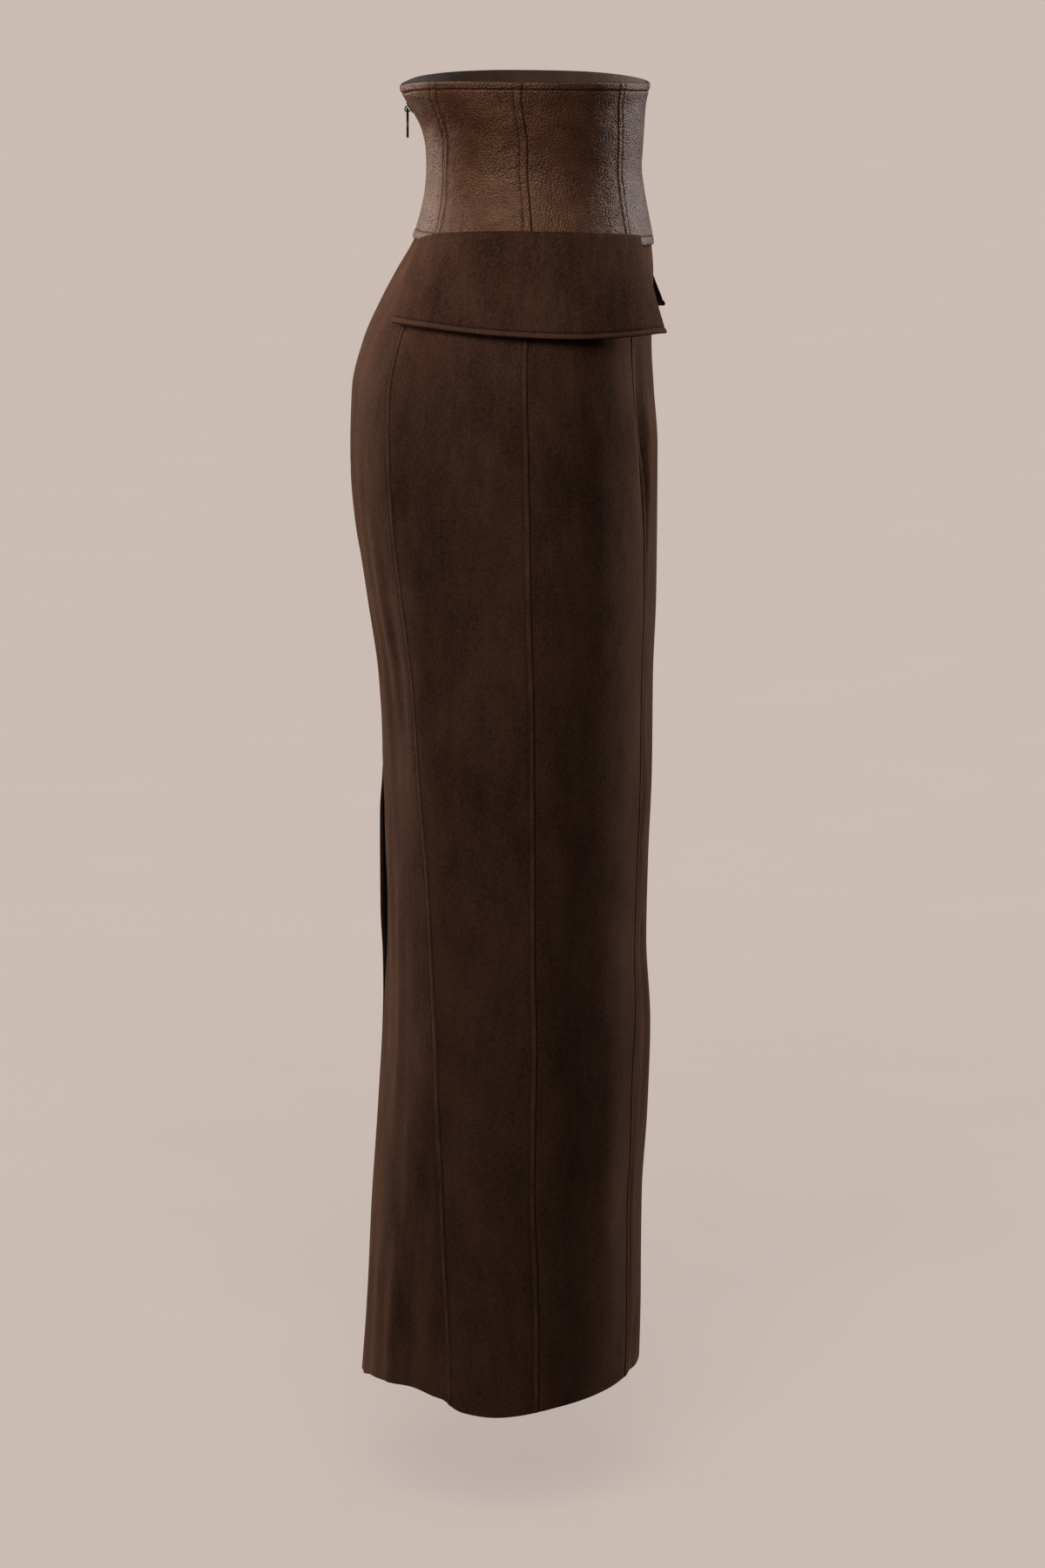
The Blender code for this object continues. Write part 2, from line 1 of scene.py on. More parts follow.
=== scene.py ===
# %% [markdown]
# # A long suede skirt with a shaped leather waist
#
# The CAD model is plain: each cut piece is a stiff, smooth wall. This lesson dresses it. Each panel becomes
# a thin shell on the form of its own solid, with rounded seams, topstitched bands, soft creases and a nap
# or grain. The zip gets teeth, and the stitches are laid one by one.
#
# The imported model is a fixed frame in metres: +Z is up, the front faces -Y and the wearer's right side is
# at -X.

# %% Load the imported frame
import math
from collections import namedtuple

import bpy
import numpy as np
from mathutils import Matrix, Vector


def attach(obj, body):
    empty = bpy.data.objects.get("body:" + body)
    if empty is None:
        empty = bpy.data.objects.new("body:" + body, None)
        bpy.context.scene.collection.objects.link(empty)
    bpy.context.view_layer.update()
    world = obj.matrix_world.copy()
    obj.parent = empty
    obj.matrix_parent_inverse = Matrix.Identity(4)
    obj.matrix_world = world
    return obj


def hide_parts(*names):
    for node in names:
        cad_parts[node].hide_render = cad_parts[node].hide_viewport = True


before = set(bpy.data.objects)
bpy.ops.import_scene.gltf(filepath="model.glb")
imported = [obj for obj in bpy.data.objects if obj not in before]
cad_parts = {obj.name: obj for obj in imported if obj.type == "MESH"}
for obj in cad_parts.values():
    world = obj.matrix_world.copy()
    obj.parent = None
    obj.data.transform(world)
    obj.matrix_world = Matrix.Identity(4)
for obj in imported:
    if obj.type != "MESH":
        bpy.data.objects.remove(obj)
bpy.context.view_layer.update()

MM = 0.001

# %% [markdown]
# ## The camera
#
# The photo was taken from the wearer's right, a little above the waist, with a long lens that keeps the
# sides of the skirt almost parallel. The camera comes first, so that every step can be compared with it.

# %% Place the camera
LENS_MM = 171.76
CAMERA_PLACE = (-6.45, 0.009742, 0.312046)
CAMERA_PITCH = 7.4959                       # degrees below the horizon


def add_object(name, data):
    """An object in the scene."""
    made = bpy.data.objects.new(name, data)
    bpy.context.scene.collection.objects.link(made)
    return made


lens = bpy.data.cameras.new("camera")
lens.lens = LENS_MM
lens.clip_end = 400.0
camera = add_object("camera", lens)
camera.location = CAMERA_PLACE
camera.rotation_euler = (math.radians(90 - CAMERA_PITCH), 0.0, math.radians(-90))
bpy.context.scene.camera = camera
print("camera looks along +X from", CAMERA_PLACE)

# %% [markdown]
# ## The worn form
#
# The cloth follows one smooth form, the same as the CAD solids: sections at many heights, each one two half
# super-ellipses. The rows give, in millimetres, the height, how far the section reaches back and front, its
# half width and where it is widest, and then how square it is in front and behind.

# %% Sections of the worn form
Section = namedtuple("Section", "height back front side middle front_power back_power")
SECTIONS = [Section(*row) for row in (
    (80, 113.5, -97.8, 135.0, 3, 2.20, 2.15),
    (66, 112.5, -96.9, 132.0, 3, 2.20, 2.15),
    (55, 107.0, -94.6, 129.0, 3, 2.20, 2.15),
    (45, 100.8, -93.6, 127.0, 2, 2.20, 2.15),
    (32, 94.5, -92.8, 123.5, 1, 2.20, 2.15),
    (16, 91.2, -91.8, 119.5, 0, 2.20, 2.15),
    (0, 90.5, -90.8, 117.5, 0, 2.20, 2.15),
    (-20, 91.8, -93.0, 119.5, 0, 2.20, 2.15),
    (-42, 96.3, -97.0, 127.5, 1, 2.20, 2.20),
    (-63, 103.3, -100.8, 139.0, 3, 2.20, 2.25),
    (-90, 118.6, -103.0, 152.0, 6, 2.25, 2.30),
    (-115, 131.9, -102.6, 162.0, 8, 2.25, 2.35),
    (-150, 147.3, -101.6, 172.0, 10, 2.25, 2.40),
    (-190, 156.9, -103.6, 180.0, 12, 2.25, 2.40),
    (-240, 158.5, -107.0, 184.5, 12, 2.25, 2.40),
    (-300, 154.1, -106.8, 186.0, 12, 2.25, 2.40),
    (-370, 144.3, -106.1, 186.0, 13, 2.25, 2.35),
    (-440, 134.5, -103.5, 185.5, 14, 2.25, 2.30),
    (-520, 130.3, -102.8, 185.0, 16, 2.25, 2.30),
    (-600, 129.8, -99.6, 184.5, 18, 2.25, 2.30),
    (-670, 129.3, -98.2, 184.0, 19, 2.25, 2.30),
    (-740, 131.0, -101.6, 184.0, 20, 2.25, 2.30),
    (-820, 136.0, -98.4, 183.5, 23, 2.25, 2.30),
    (-900, 141.8, -93.8, 183.0, 27, 2.25, 2.25),
    (-980, 145.6, -94.0, 183.0, 31, 2.25, 2.25),
    (-1070, 152.2, -91.8, 183.0, 34, 2.25, 2.25),
)]


def smooth(table, column, at):
    """A table's column at any place along its first column, on a curve that never overshoots a row."""
    rows = sorted(table)
    places = np.array([row[0] for row in rows], float)
    values = np.array([getattr(row, column) for row in rows], float)
    steps = np.diff(places)
    slopes = np.diff(values) / steps
    product = slopes[:-1] * slopes[1:]
    total = np.where(product > 0, slopes[:-1] + slopes[1:], 1.0)
    tangents = np.concatenate(([slopes[0]], np.where(product > 0, 2 * product / total, 0.0), [slopes[-1]]))
    at = np.clip(at, places[0], places[-1])
    row = np.clip(np.searchsorted(places, at, side="right") - 1, 0, len(steps) - 1)
    t = (at - places[row]) / steps[row]
    start = (1 + 2 * t) * (1 - t) ** 2 * values[row] + t * (1 - t) ** 2 * steps[row] * tangents[row]
    end = t * t * (3 - 2 * t) * values[row + 1] + t * t * (t - 1) * steps[row] * tangents[row + 1]
    return start + end


# %% [markdown]
# A place on the cloth is given by two numbers, as a tailor would: the height, and the share of the half
# girth, 0 at the centre front and 1 at the centre back, negative on the right half. The sections are worked
# out once, on a net of heights and shares. Points between are read with a cubic, which keeps it smooth.

# %% A net of the form, read smoothly
LEVEL_STEP = 2.0 * MM
LEVELS = np.arange(-1100, 100, 2) * MM
NET_COLUMNS = 240
TURN = np.linspace(0.0, math.pi, 721)


def half_sections(heights):
    """The half section at each height: its x, its y and the length run from the centre front."""
    column = {name: smooth(SECTIONS, name, heights / MM)[:, None] for name in Section._fields[1:]}
    in_front = TURN < math.pi / 2
    power = np.where(in_front, column["front_power"], column["back_power"])
    reach = np.where(in_front, column["middle"] - column["front"], column["back"] - column["middle"])
    across = (np.sin(TURN) / column["side"]) ** power
    along = (np.abs(np.cos(TURN)) / reach) ** power
    radius = (across + along) ** (-1 / power)
    x = radius * np.sin(TURN) * MM
    y = (column["middle"] - radius * np.cos(TURN)) * MM
    step = np.hypot(np.diff(x, axis=1), np.diff(y, axis=1))
    run = np.concatenate((np.zeros((len(x), 1)), np.cumsum(step, axis=1)), axis=1)
    return x, y, run


def make_net():
    """x + iy on even shares, with two mirrored columns past each centre line, and each level's half girth."""
    x, y, run = half_sections(LEVELS)
    even = np.linspace(0.0, 1.0, NET_COLUMNS + 1)
    net = np.array([np.interp(even * r[-1], r, points) for points, r in zip(x + 1j * y, run)])
    net = np.concatenate((-net[:, 2:0:-1].conj(), net, -net[:, -2:-4:-1].conj()), axis=1)
    return net, run[:, -1]


NET, HALF_GIRTHS = make_net()


def half_girth(heights):
    """Half the way round the garment at each height."""
    return np.interp(heights, LEVELS, HALF_GIRTHS)


def cubic_weights(t):
    """Weights of the four net lines around a place, for a smooth reading."""
    return np.stack((((2 - t) * t - 1) * t / 2, ((3 * t - 5) * t * t + 2) / 2,
                     ((4 - 3 * t) * t + 1) * t / 2, (t - 1) * t * t / 2))


def read_form(shares, heights):
    """x (unsigned) and y of the form at any shares and heights."""
    level = np.clip((heights - LEVELS[0]) / LEVEL_STEP, 1, len(LEVELS) - 3)
    column = np.clip(np.abs(shares), -0.005, 1.005) * NET_COLUMNS + 2
    low = np.floor(level).astype(int)
    left = np.floor(column).astype(int)
    down = cubic_weights(level - low)
    along = cubic_weights(column - left)
    line = NET.shape[1]
    first = (low - 1) * line + np.minimum(left - 1, line - 4)
    flat = NET.ravel()
    found = 0.0
    for i in range(4):
        found = found + down[i] * sum(along[j] * flat.take(first + i * line + j) for j in range(4))
    return found.real, found.imag


for label, height in (("waist", 0.0), ("hip", -0.24)):
    print(label, "girth", round(2 * half_girth(height) / MM), "mm")

# %% [markdown]
# ## Seams, edges and folds
#
# The seams, the edges that run round, and the edges at the centre back repeat the CAD source, so that each
# shell covers its own solid.

# %% Where the cloth is cut
Seams = namedtuple("Seams", "height front side back")
SEAMS = [Seams(*row) for row in (
    (80, 0.267, 0.508, 0.723),
    (40, 0.264, 0.515, 0.740),
    (0, 0.259, 0.517, 0.762),
    (-50, 0.256, 0.503, 0.750),
    (-140, 0.229, 0.469, 0.726),
    (-200, 0.218, 0.462, 0.721),
    (-270, 0.196, 0.462, 0.717),
    (-400, 0.188, 0.468, 0.711),
    (-510, 0.190, 0.468, 0.698),
    (-600, 0.188, 0.463, 0.671),
    (-690, 0.196, 0.461, 0.656),
    (-775, 0.216, 0.458, 0.641),
    (-860, 0.201, 0.450, 0.618),
    (-940, 0.198, 0.438, 0.603),
    (-1060, 0.197, 0.427, 0.580),
)]
Edges = namedtuple("Edges", "share top waist_seam hem")
EDGES = [Edges(*row) for row in (
    (0.00, 71.6, -67.5, -1039),
    (0.13, 72.7, -66.0, -1040),
    (0.27, 75.0, -63.5, -1046),
    (0.38, 76.4, -62.5, -1052),
    (0.50, 77.0, -62.0, -1059),
    (0.56, 77.2, -62.0, -1055),
    (0.61, 77.0, -62.0, -1045),
    (0.68, 76.4, -62.0, -1040),
    (0.80, 74.2, -61.8, -1041),
    (0.91, 70.7, -61.5, -1048),
    (1.00, 69.5, -61.5, -1053),
)]
CentreBack = namedtuple("CentreBack", "height right_edge left_edge right_lift left_lift")
CENTRE_BACK = [CentreBack(*row) for row in (
    (80, 8.5, 8.5, 0.0, 0.0),
    (60, 5.6, 5.6, 0.0, 0.0),
    (46, 3.6, 3.6, 0.0, 0.0),
    (-236, 3.6, 3.6, 0.0, 0.0),
    (-266, 0.15, 0.15, 0.0, 0.0),
    (-495, 0.15, 0.15, 0.0, 0.0),
    (-530, 4.0, 5.0, -3.0, 1.8),
    (-560, 9.0, 9.0, -4.8, 4.3),
    (-600, 10.0, 12.0, -4.6, 4.9),
    (-645, 10.0, 12.0, -3.3, 5.0),
    (-690, 10.0, 12.0, -1.4, 2.8),
    (-730, 10.0, 12.0, 0.0, 1.4),
    (-900, 12.0, 13.0, 0.0, 0.0),
    (-1070, 13.0, 15.0, 0.0, -1.5),
)]
SLIT_REACH = 45.0 * MM
ZIP_FOOT = -270.0 * MM
SEAM_LAP = 9.0 * MM              # how far the suede runs up behind the leather
SEAM_GAP = 0.3 * MM

# %% [markdown]
# Folds are listed: top, foot, the shares they run between, half width and lift. The first ones are
# the big folds of the CAD solids. The finer creases are only here. They are uneven in length, depth and
# spacing, and the two halves of the garment differ a little.

# %% Folds and creases
Fold = namedtuple("Fold", "top foot top_share foot_share width lift")
FOLDS = [Fold(*row) for row in (
    (-120, -360, -0.160, -0.178, 11, 2.2), (-120, -330, -0.205, -0.200, 8, -1.8),
    (-190, -420, -0.860, -0.838, 16, 1.8), (-760, -1190, -0.800, -0.800, 20, 3.4),
    (-790, -1200, -0.694, -0.674, 24, -5.0), (-840, -1060, -0.640, -0.648, 12, 2.0),
    (-900, -1180, -0.560, -0.545, 26, 3.2), (-640, -880, -0.150, -0.100, 26, 2.0),
    (-120, -340, 0.170, 0.185, 12, 2.0), (-200, -400, 0.845, 0.830, 15, 1.6),
    (-700, -1180, 0.770, 0.790, 22, 3.6), (-820, -1200, 0.665, 0.650, 23, -4.4),
    (-880, -1180, 0.540, 0.525, 27, 3.0), (-600, -900, 0.110, 0.150, 25, 1.8),
)]
CREASES = [Fold(*row) for row in (
    (-105, -340, -0.203, -0.190, 6, -1.6), (-115, -420, -0.168, -0.172, 6, 1.5),
    (-110, -350, 0.202, 0.192, 6, -1.4), (-120, -400, 0.170, 0.170, 6, 1.4),
    (-150, -420, -0.900, -0.870, 8, 3), (-230, -480, -0.800, -0.775, 9, 2.9),
    (-260, -520, -0.940, -0.905, 8, -3), (-330, -620, -0.850, -0.800, 8, 2.6),
    (-420, -700, -0.930, -0.880, 9, 3), (-430, -560, -0.060, -0.150, 8, -2.3),
    (-440, -590, -0.090, -0.185, 9, 2), (-600, -690, -0.070, -0.165, 7, -2.2),
    (-950, -1075, -0.085, -0.180, 9, -2.9), (-860, -1120, -0.740, -0.728, 10, 4.9),
    (-840, -1140, -0.872, -0.860, 9, 4.5), (-900, -1160, -0.605, -0.598, 7, -3.2),
    (-700, -1150, -0.680, -0.655, 8, 2.2), (-480, -980, -0.560, -0.540, 22, 1.5),
    (-520, -940, -0.360, -0.330, 24, -1.4), (-640, -1040, -0.300, -0.270, 16, 1.3),
    (-120, -300, -0.550, -0.590, 18, 1.2), (-400, -780, -0.166, -0.150, 5, 1.8),
    (-500, -940, -0.140, -0.162, 5, -1.7), (-740, -1060, -0.174, -0.166, 6, 2.0),
    (-560, -880, -0.110, -0.125, 6, 1.6), (-760, -1100, -0.665, -0.650, 6, -2.4),
    (-720, -1060, -0.715, -0.700, 6, 2.4), (-140, -420, -0.340, -0.345, 15, 1.1),
    (-300, -700, -0.620, -0.590, 14, 1.1), (-170, -520, -0.835, -0.815, 5, 2.5),
    (-280, -600, -0.885, -0.850, 5, -2.2), (-380, -760, -0.865, -0.820, 6, 2.9),
    (-500, -860, -0.905, -0.870, 6, -2.6), (-560, -900, -0.790, -0.760, 6, 2.5),
    (-300, -560, -0.765, -0.745, 5, -1.8), (-180, -500, 0.830, 0.812, 5, -2.1),
    (-270, -580, 0.880, 0.845, 5, 2.5), (-400, -780, 0.865, 0.825, 6, -2.5),
    (-520, -850, 0.910, 0.875, 6, 2.6), (-580, -890, 0.785, 0.760, 6, -2.2),
    (-160, -430, 0.895, 0.865, 9, 3), (-240, -500, 0.790, 0.770, 9, 2.6),
    (-300, -560, 0.935, 0.900, 9, -2.9), (-360, -640, 0.845, 0.805, 8, 2.9),
    (-450, -580, 0.050, 0.140, 9, -2.2), (-610, -720, 0.060, 0.160, 8, -2),
    (-940, -1085, 0.080, 0.170, 9, -2.8), (-870, -1120, 0.730, 0.742, 10, 4.5),
    (-850, -1150, 0.880, 0.868, 9, 4.3), (-910, -1150, 0.600, 0.592, 7, -2.9),
    (-500, -960, 0.565, 0.535, 21, 1.5), (-540, -930, 0.365, 0.335, 23, -1.3),
    (-640, -1030, 0.300, 0.265, 17, 1.3), (-150, -410, 0.350, 0.345, 16, 1),
    (-310, -690, 0.625, 0.590, 14, 1.2), (-700, -1000, 0.010, 0.030, 20, 1.6),
    (-420, -760, 0.164, 0.150, 5, 1.7), (-520, -920, 0.138, 0.160, 6, -1.6),
    (-730, -1050, 0.172, 0.165, 6, 1.8), (-780, -1110, 0.655, 0.645, 6, -2.2),
    (-700, -1050, 0.710, 0.700, 7, 2.3),
)]


def in_metres(table, column, heights):
    """A column of millimetres as metres, read at heights in metres."""
    return smooth(table, column, np.asarray(heights, float) / MM) * MM


def edge_height(name, shares):
    """The height of one of the edges that run round the garment."""
    return smooth(EDGES, name, np.abs(shares)) * MM


def waist_top(shares):
    return edge_height("top", shares)


def waist_foot(shares):
    return edge_height("waist_seam", shares)


def hem(shares):
    return edge_height("hem", shares)


def fold_lift(shares, heights, half):
    """How far the folds, creases and the parted slit move the cloth out of its section."""
    lift = np.zeros_like(heights)
    for fold in FOLDS + CREASES:
        down = np.clip((fold.top * MM - heights) / ((fold.top - fold.foot) * MM), 0.0, 1.0)
        centre = fold.top_share + (fold.foot_share - fold.top_share) * down
        aside = (shares - centre) * half / (fold.width * MM)
        lift += fold.lift * MM * np.sin(math.pi * down) ** 2 * np.exp(-aside ** 2)
    slit = np.where(shares < 0, in_metres(CENTRE_BACK, "right_lift", heights),
                    in_metres(CENTRE_BACK, "left_lift", heights))
    return lift + slit * np.exp(-((1 - np.abs(shares)) * half / SLIT_REACH) ** 2)


def skin(shares, heights):
    """Points on the cloth's face, folds included."""
    half = half_girth(heights)
    x, y = read_form(shares, heights)
    ahead = read_form(np.abs(shares) + LEVEL_STEP / half, heights)
    behind = read_form(np.abs(np.abs(shares) - LEVEL_STEP / half), heights)
    across = ahead[0] - behind[0] * np.where(np.abs(shares) < LEVEL_STEP / half, -1.0, 1.0)
    along = ahead[1] - behind[1]
    length = np.hypot(across, along)
    lift = fold_lift(shares, heights, half)
    hand = np.where(shares < 0, -1.0, 1.0)
    return np.stack((hand * (x + along / length * lift), y - across / length * lift, heights), axis=-1)


def lifted(shares, heights, lift):
    """Points that stand off the cloth's face by a lift, and the outward normals there."""
    low = np.where(shares < 0, -1.0, 0.0)
    step = 0.004
    around = (skin(np.clip(shares + step, low, low + 1), heights)
              - skin(np.clip(shares - step, low, low + 1), heights))
    up = skin(shares, heights + LEVEL_STEP) - skin(shares, heights - LEVEL_STEP)
    normal = np.cross(around, up)
    normal /= np.linalg.norm(normal, axis=-1)[..., None]
    return skin(shares, heights) + normal * np.broadcast_to(lift, heights.shape)[..., None], normal


print(len(FOLDS), "folds and", len(CREASES), "creases")

# %% [markdown]
# ## How an edge or a seam shapes the cloth
#
# A seam is never a drawn line. The cloth rolls over into it, and where the allowance is stitched down, that
# side stands up as a flat band that ends in a groove under the thread. One function gives that shape from
# the distance to the edge, for every seam, the turned top and the rolled hems.

# %% The shape beside an edge
Trim = namedtuple("Trim", "roll band lift groove", defaults=(0.0, 0.0, 0.0))     # millimetres
PLAIN = Trim(1.2)


def ease(value, start, end):
    """0 before start, 1 after end, and smooth between."""
    t = np.clip((value - start) / (end - start), 0.0, 1.0)
    return t * t * (3 - 2 * t)


def trimmed(distance, trim, along=0.0):
    """The lift of the cloth's face at a distance from an edge, in metres. along varies the band a little."""
    d = distance / MM
    inside = np.clip(d / trim.roll, 0.0, 1.0)
    lift = -trim.roll * (1 - np.sqrt(np.clip(1 - (1 - inside) ** 2, 0.0, 1.0)))
    if trim.band:
        uneven = 1 + 0.16 * np.sin(along / (7.9 * MM)) + 0.12 * np.sin(along / (3.3 * MM) + 1.3)
        lift = lift + trim.lift * uneven * (1 - ease(d, trim.band - 1.5, trim.band - 0.1)) * ease(d, 0.0, 1.6)
        lift = lift - trim.groove * np.exp(-((d - trim.band) / 0.8) ** 2)
    return lift * MM


LEATHER_SEAM = Trim(1.1, 7.0, 0.50, 0.60)
LEATHER_PLAIN = Trim(1.1)
LEATHER_TOP = Trim(1.1, 6.7, 0.75, 0.60)
LEATHER_FOOT = Trim(1.2, 7.4, 0.35, 0.50)
SUEDE_SEAM = Trim(1.2, 5.5, 0.42, 0.32)
SUEDE_HEM = Trim(1.1)
FLAP_HEM = Trim(1.6, 5.4, 0.70, 0.45)
FLAP_SIDE = Trim(1.6)
FLAP_FOLD = Trim(2.6)

# %% [markdown]
# A mesh needs many narrow columns beside a seam and few wide ones across the open cloth. The ruler gives
# such marks: fixed distances near both edges and even ones between.

# %% A ruler with fine marks near both edges
NEAR_SEAM = np.array([0, 0.1, 0.3, 0.6, 1.0, 1.5, 2.2, 3.1, 4.0, 4.7, 5.2, 5.6, 6.1, 6.7, 7.3, 8.2, 9.6,
                      11.5]) * MM
NEAR_EDGE = np.array([0, 0.1, 0.3, 0.6, 1.0, 1.6, 2.5, 3.6, 4.7, 5.4, 6.0, 6.6, 7.1, 7.6, 8.3, 9.4, 11.5,
                      14.0, 15.0]) * MM


def ruler(near_start, near_end, count):
    """Marks between two edges. Each mark is a fixed length plus a share of the whole length."""
    part = np.linspace(0.0, 1.0, count + 2)[1:-1]
    fixed = np.concatenate((near_start, near_start[-1] * (1 - part) - near_end[-1] * part, -near_end[::-1]))
    share = np.concatenate((0 * near_start, part, 1 + 0 * near_end))
    return fixed, share


# %% [markdown]
# ## Panels
#
# A panel is a net of shares and heights between its two seams and two edges, with each point's distance to
# all four. Heights depend on shares and shares on heights, so a few rounds settle them.

# %% Lay out a panel
PANELS = {
    "front": ("front", "front"),
    "side_front": ("front", "side"),
    "side_back": ("side", "back"),
    "back": ("back", "centre_back"),
}
Layout = namedtuple("Layout", "shares heights across width down length")


def seam_share(name, heights, hand):
    """The signed share where a panel ends."""
    if name == "centre_back":
        column = "right_edge" if hand < 0 else "left_edge"
        return hand * (1 - in_metres(CENTRE_BACK, column, heights) / half_girth(heights))
    return hand * smooth(SEAMS, name, heights / MM)


def lay_out(panel, hand, top, foot, down_marks, across_marks):
    """A panel's net. top and foot give its edges' heights from the shares."""
    first, last = PANELS[panel]
    first_hand, last_hand = (-1, 1) if panel == "front" else (hand, hand)
    fixed_down, share_down = (m[:, None] for m in down_marks)
    fixed_across, share_across = across_marks
    shares = np.full((len(fixed_down), len(fixed_across)), 0.5 * hand)
    for _ in range(6):
        high, low = top(shares), foot(shares)
        down = fixed_down + share_down * (high - low)
        heights = high - down
        half = half_girth(heights)
        start = seam_share(first, heights, first_hand)
        end = seam_share(last, heights, last_hand)
        gap = 0.02 * MM
        width = np.abs(end - start) * half - 2 * gap
        across = fixed_across + share_across * width
        shares = start + np.sign(end - start) * (across + gap) / half
    return Layout(shares, heights, across, width, down, high - low)


# %% [markdown]
# The wall of cloth is a closed mesh: a face, a back, and a rim. Its UV map is the cloth itself in metres,
# along the grain, so that textures have their true size and follow the cut. A value called "raised" tells
# where the cloth stands up and is rubbed, and where it lies in a groove.

# %% Make a wall of cloth
SHARP_FROM = math.radians(50)


def mesh_object(name, points, faces, *materials):
    """A smooth mesh with its materials, as an object in the scene."""
    mesh = bpy.data.meshes.new(name)
    mesh.from_pydata(points.tolist(), [], faces)
    mesh.shade_smooth()
    for material in materials:
        mesh.materials.append(material)
    return add_object(name, mesh)


def wall(name, outer, inner, cloth_uv, raised, materials):
    """A closed mesh between two nets of points, with a face material and a back material."""
    rows, columns = outer.shape[:2]
    count = rows * columns
    index = np.arange(count).reshape(rows, columns)
    quads = np.stack((index[:-1, :-1], index[:-1, 1:], index[1:, 1:], index[1:, :-1]), axis=-1).reshape(-1, 4)
    rim = np.concatenate((index[0, :-1], index[:-1, -1], index[-1, :0:-1], index[:0:-1, 0]))
    after = np.roll(rim, -1)
    rim_quads = np.stack((rim, rim + count, after + count, after), axis=-1)
    around = outer[0, -1] - outer[0, 0]
    down = outer[-1, 0] - outer[0, 0]
    faces_out = np.cross(down, around) @ (outer - inner).reshape(-1, 3).mean(axis=0) > 0
    if faces_out:
        faces = np.concatenate((quads[:, ::-1], quads + count, rim_quads[:, ::-1]))
    else:
        faces = np.concatenate((quads, quads[:, ::-1] + count, rim_quads))
    points = np.concatenate((outer.reshape(-1, 3), inner.reshape(-1, 3)))
    piece = mesh_object(name, points, faces.tolist(), *materials)
    mesh = piece.data
    slots = np.zeros(len(faces), int)
    slots[len(quads):2 * len(quads)] = 1
    mesh.polygons.foreach_set("material_index", slots)
    corners = np.empty(len(mesh.loops), int)
    mesh.loops.foreach_get("vertex_index", corners)
    layer = mesh.uv_layers.new(name="Cloth")
    layer.data.foreach_set("uv", np.tile(cloth_uv.reshape(-1, 2), (2, 1))[corners].ravel())
    worn = mesh.attributes.new("raised", "FLOAT", "POINT")
    worn.data.foreach_set("value", np.tile(np.clip(raised, -1, 1).ravel(), 2).astype(np.float32))
    mesh.set_sharp_from_angle(angle=SHARP_FROM)
    mesh.validate()
    return piece


# %% [markdown]
# ## Node groups
#
# The materials share some effects, each a node group that is built once. The helpers below add a node or
# start a group, and link its inputs in one go.

# %% Helpers for materials
def feed(tree, node, inputs):
    """Set a node's inputs. Each name or number gets a value, or the socket that feeds it."""
    for key, value in inputs.items():
        if isinstance(value, bpy.types.NodeSocket):
            tree.links.new(value, node.inputs[key])
        else:
            node.inputs[key].default_value = value


def add_node(tree, kind, inputs=None, **settings):
    """One node with its settings and inputs."""
    made = tree.nodes.new("ShaderNode" + kind)
    for key, value in settings.items():
        setattr(made, key, value)
    feed(tree, made, inputs or {})
    return made


def calculate(tree, operation, *values):
    """A Math node's result."""
    return add_node(tree, "Math", dict(enumerate(values)), operation=operation).outputs[0]


def vector_math(tree, operation, *values):
    """A Vector Math node's result."""
    return add_node(tree, "VectorMath", dict(enumerate(values)), operation=operation).outputs[0]


def add_share(tree, total, value, weight):
    """A total and a weighted value."""
    return calculate(tree, "ADD", total, calculate(tree, "MULTIPLY", value, weight))


def ramp(tree, value, start, end, low=0.0, high=1.0):
    """A value carried smoothly from start..end to low..high."""
    limits = {"Value": value, "From Min": start, "From Max": end, "To Min": low, "To Max": high}
    return add_node(tree, "MapRange", limits, interpolation_type="SMOOTHSTEP").outputs["Result"]


def mix_colours(tree, factor, first, second, blend="MIX"):
    """Two colours mixed by a factor."""
    return add_node(tree, "Mix", {0: factor, 6: first, 7: second}, data_type="RGBA",
                    blend_type=blend).outputs[2]


def new_group(name, inputs, outputs):
    """An empty node group with named sockets: its tree, its inputs and its outputs."""
    tree = bpy.data.node_groups.new(name, "ShaderNodeTree")
    for label, kind, value in inputs:
        socket = tree.interface.new_socket(name=label, in_out="INPUT", socket_type="NodeSocket" + kind)
        if value is not None:
            socket.default_value = value
    for label, kind in outputs:
        tree.interface.new_socket(name=label, in_out="OUTPUT", socket_type="NodeSocket" + kind)
    return tree, tree.nodes.new("NodeGroupInput").outputs, tree.nodes.new("NodeGroupOutput").inputs


def use_group(tree, group, inputs):
    """Place a group in a material and return its outputs."""
    return add_node(tree, "Group", inputs, node_tree=group).outputs


# %% [markdown]
# **Blotches.** Brushed cloth shows soft patches where the nap lies another way, often drawn out along the
# length. A noise texture in true metres gives them, with a size, a stretch and a softness.

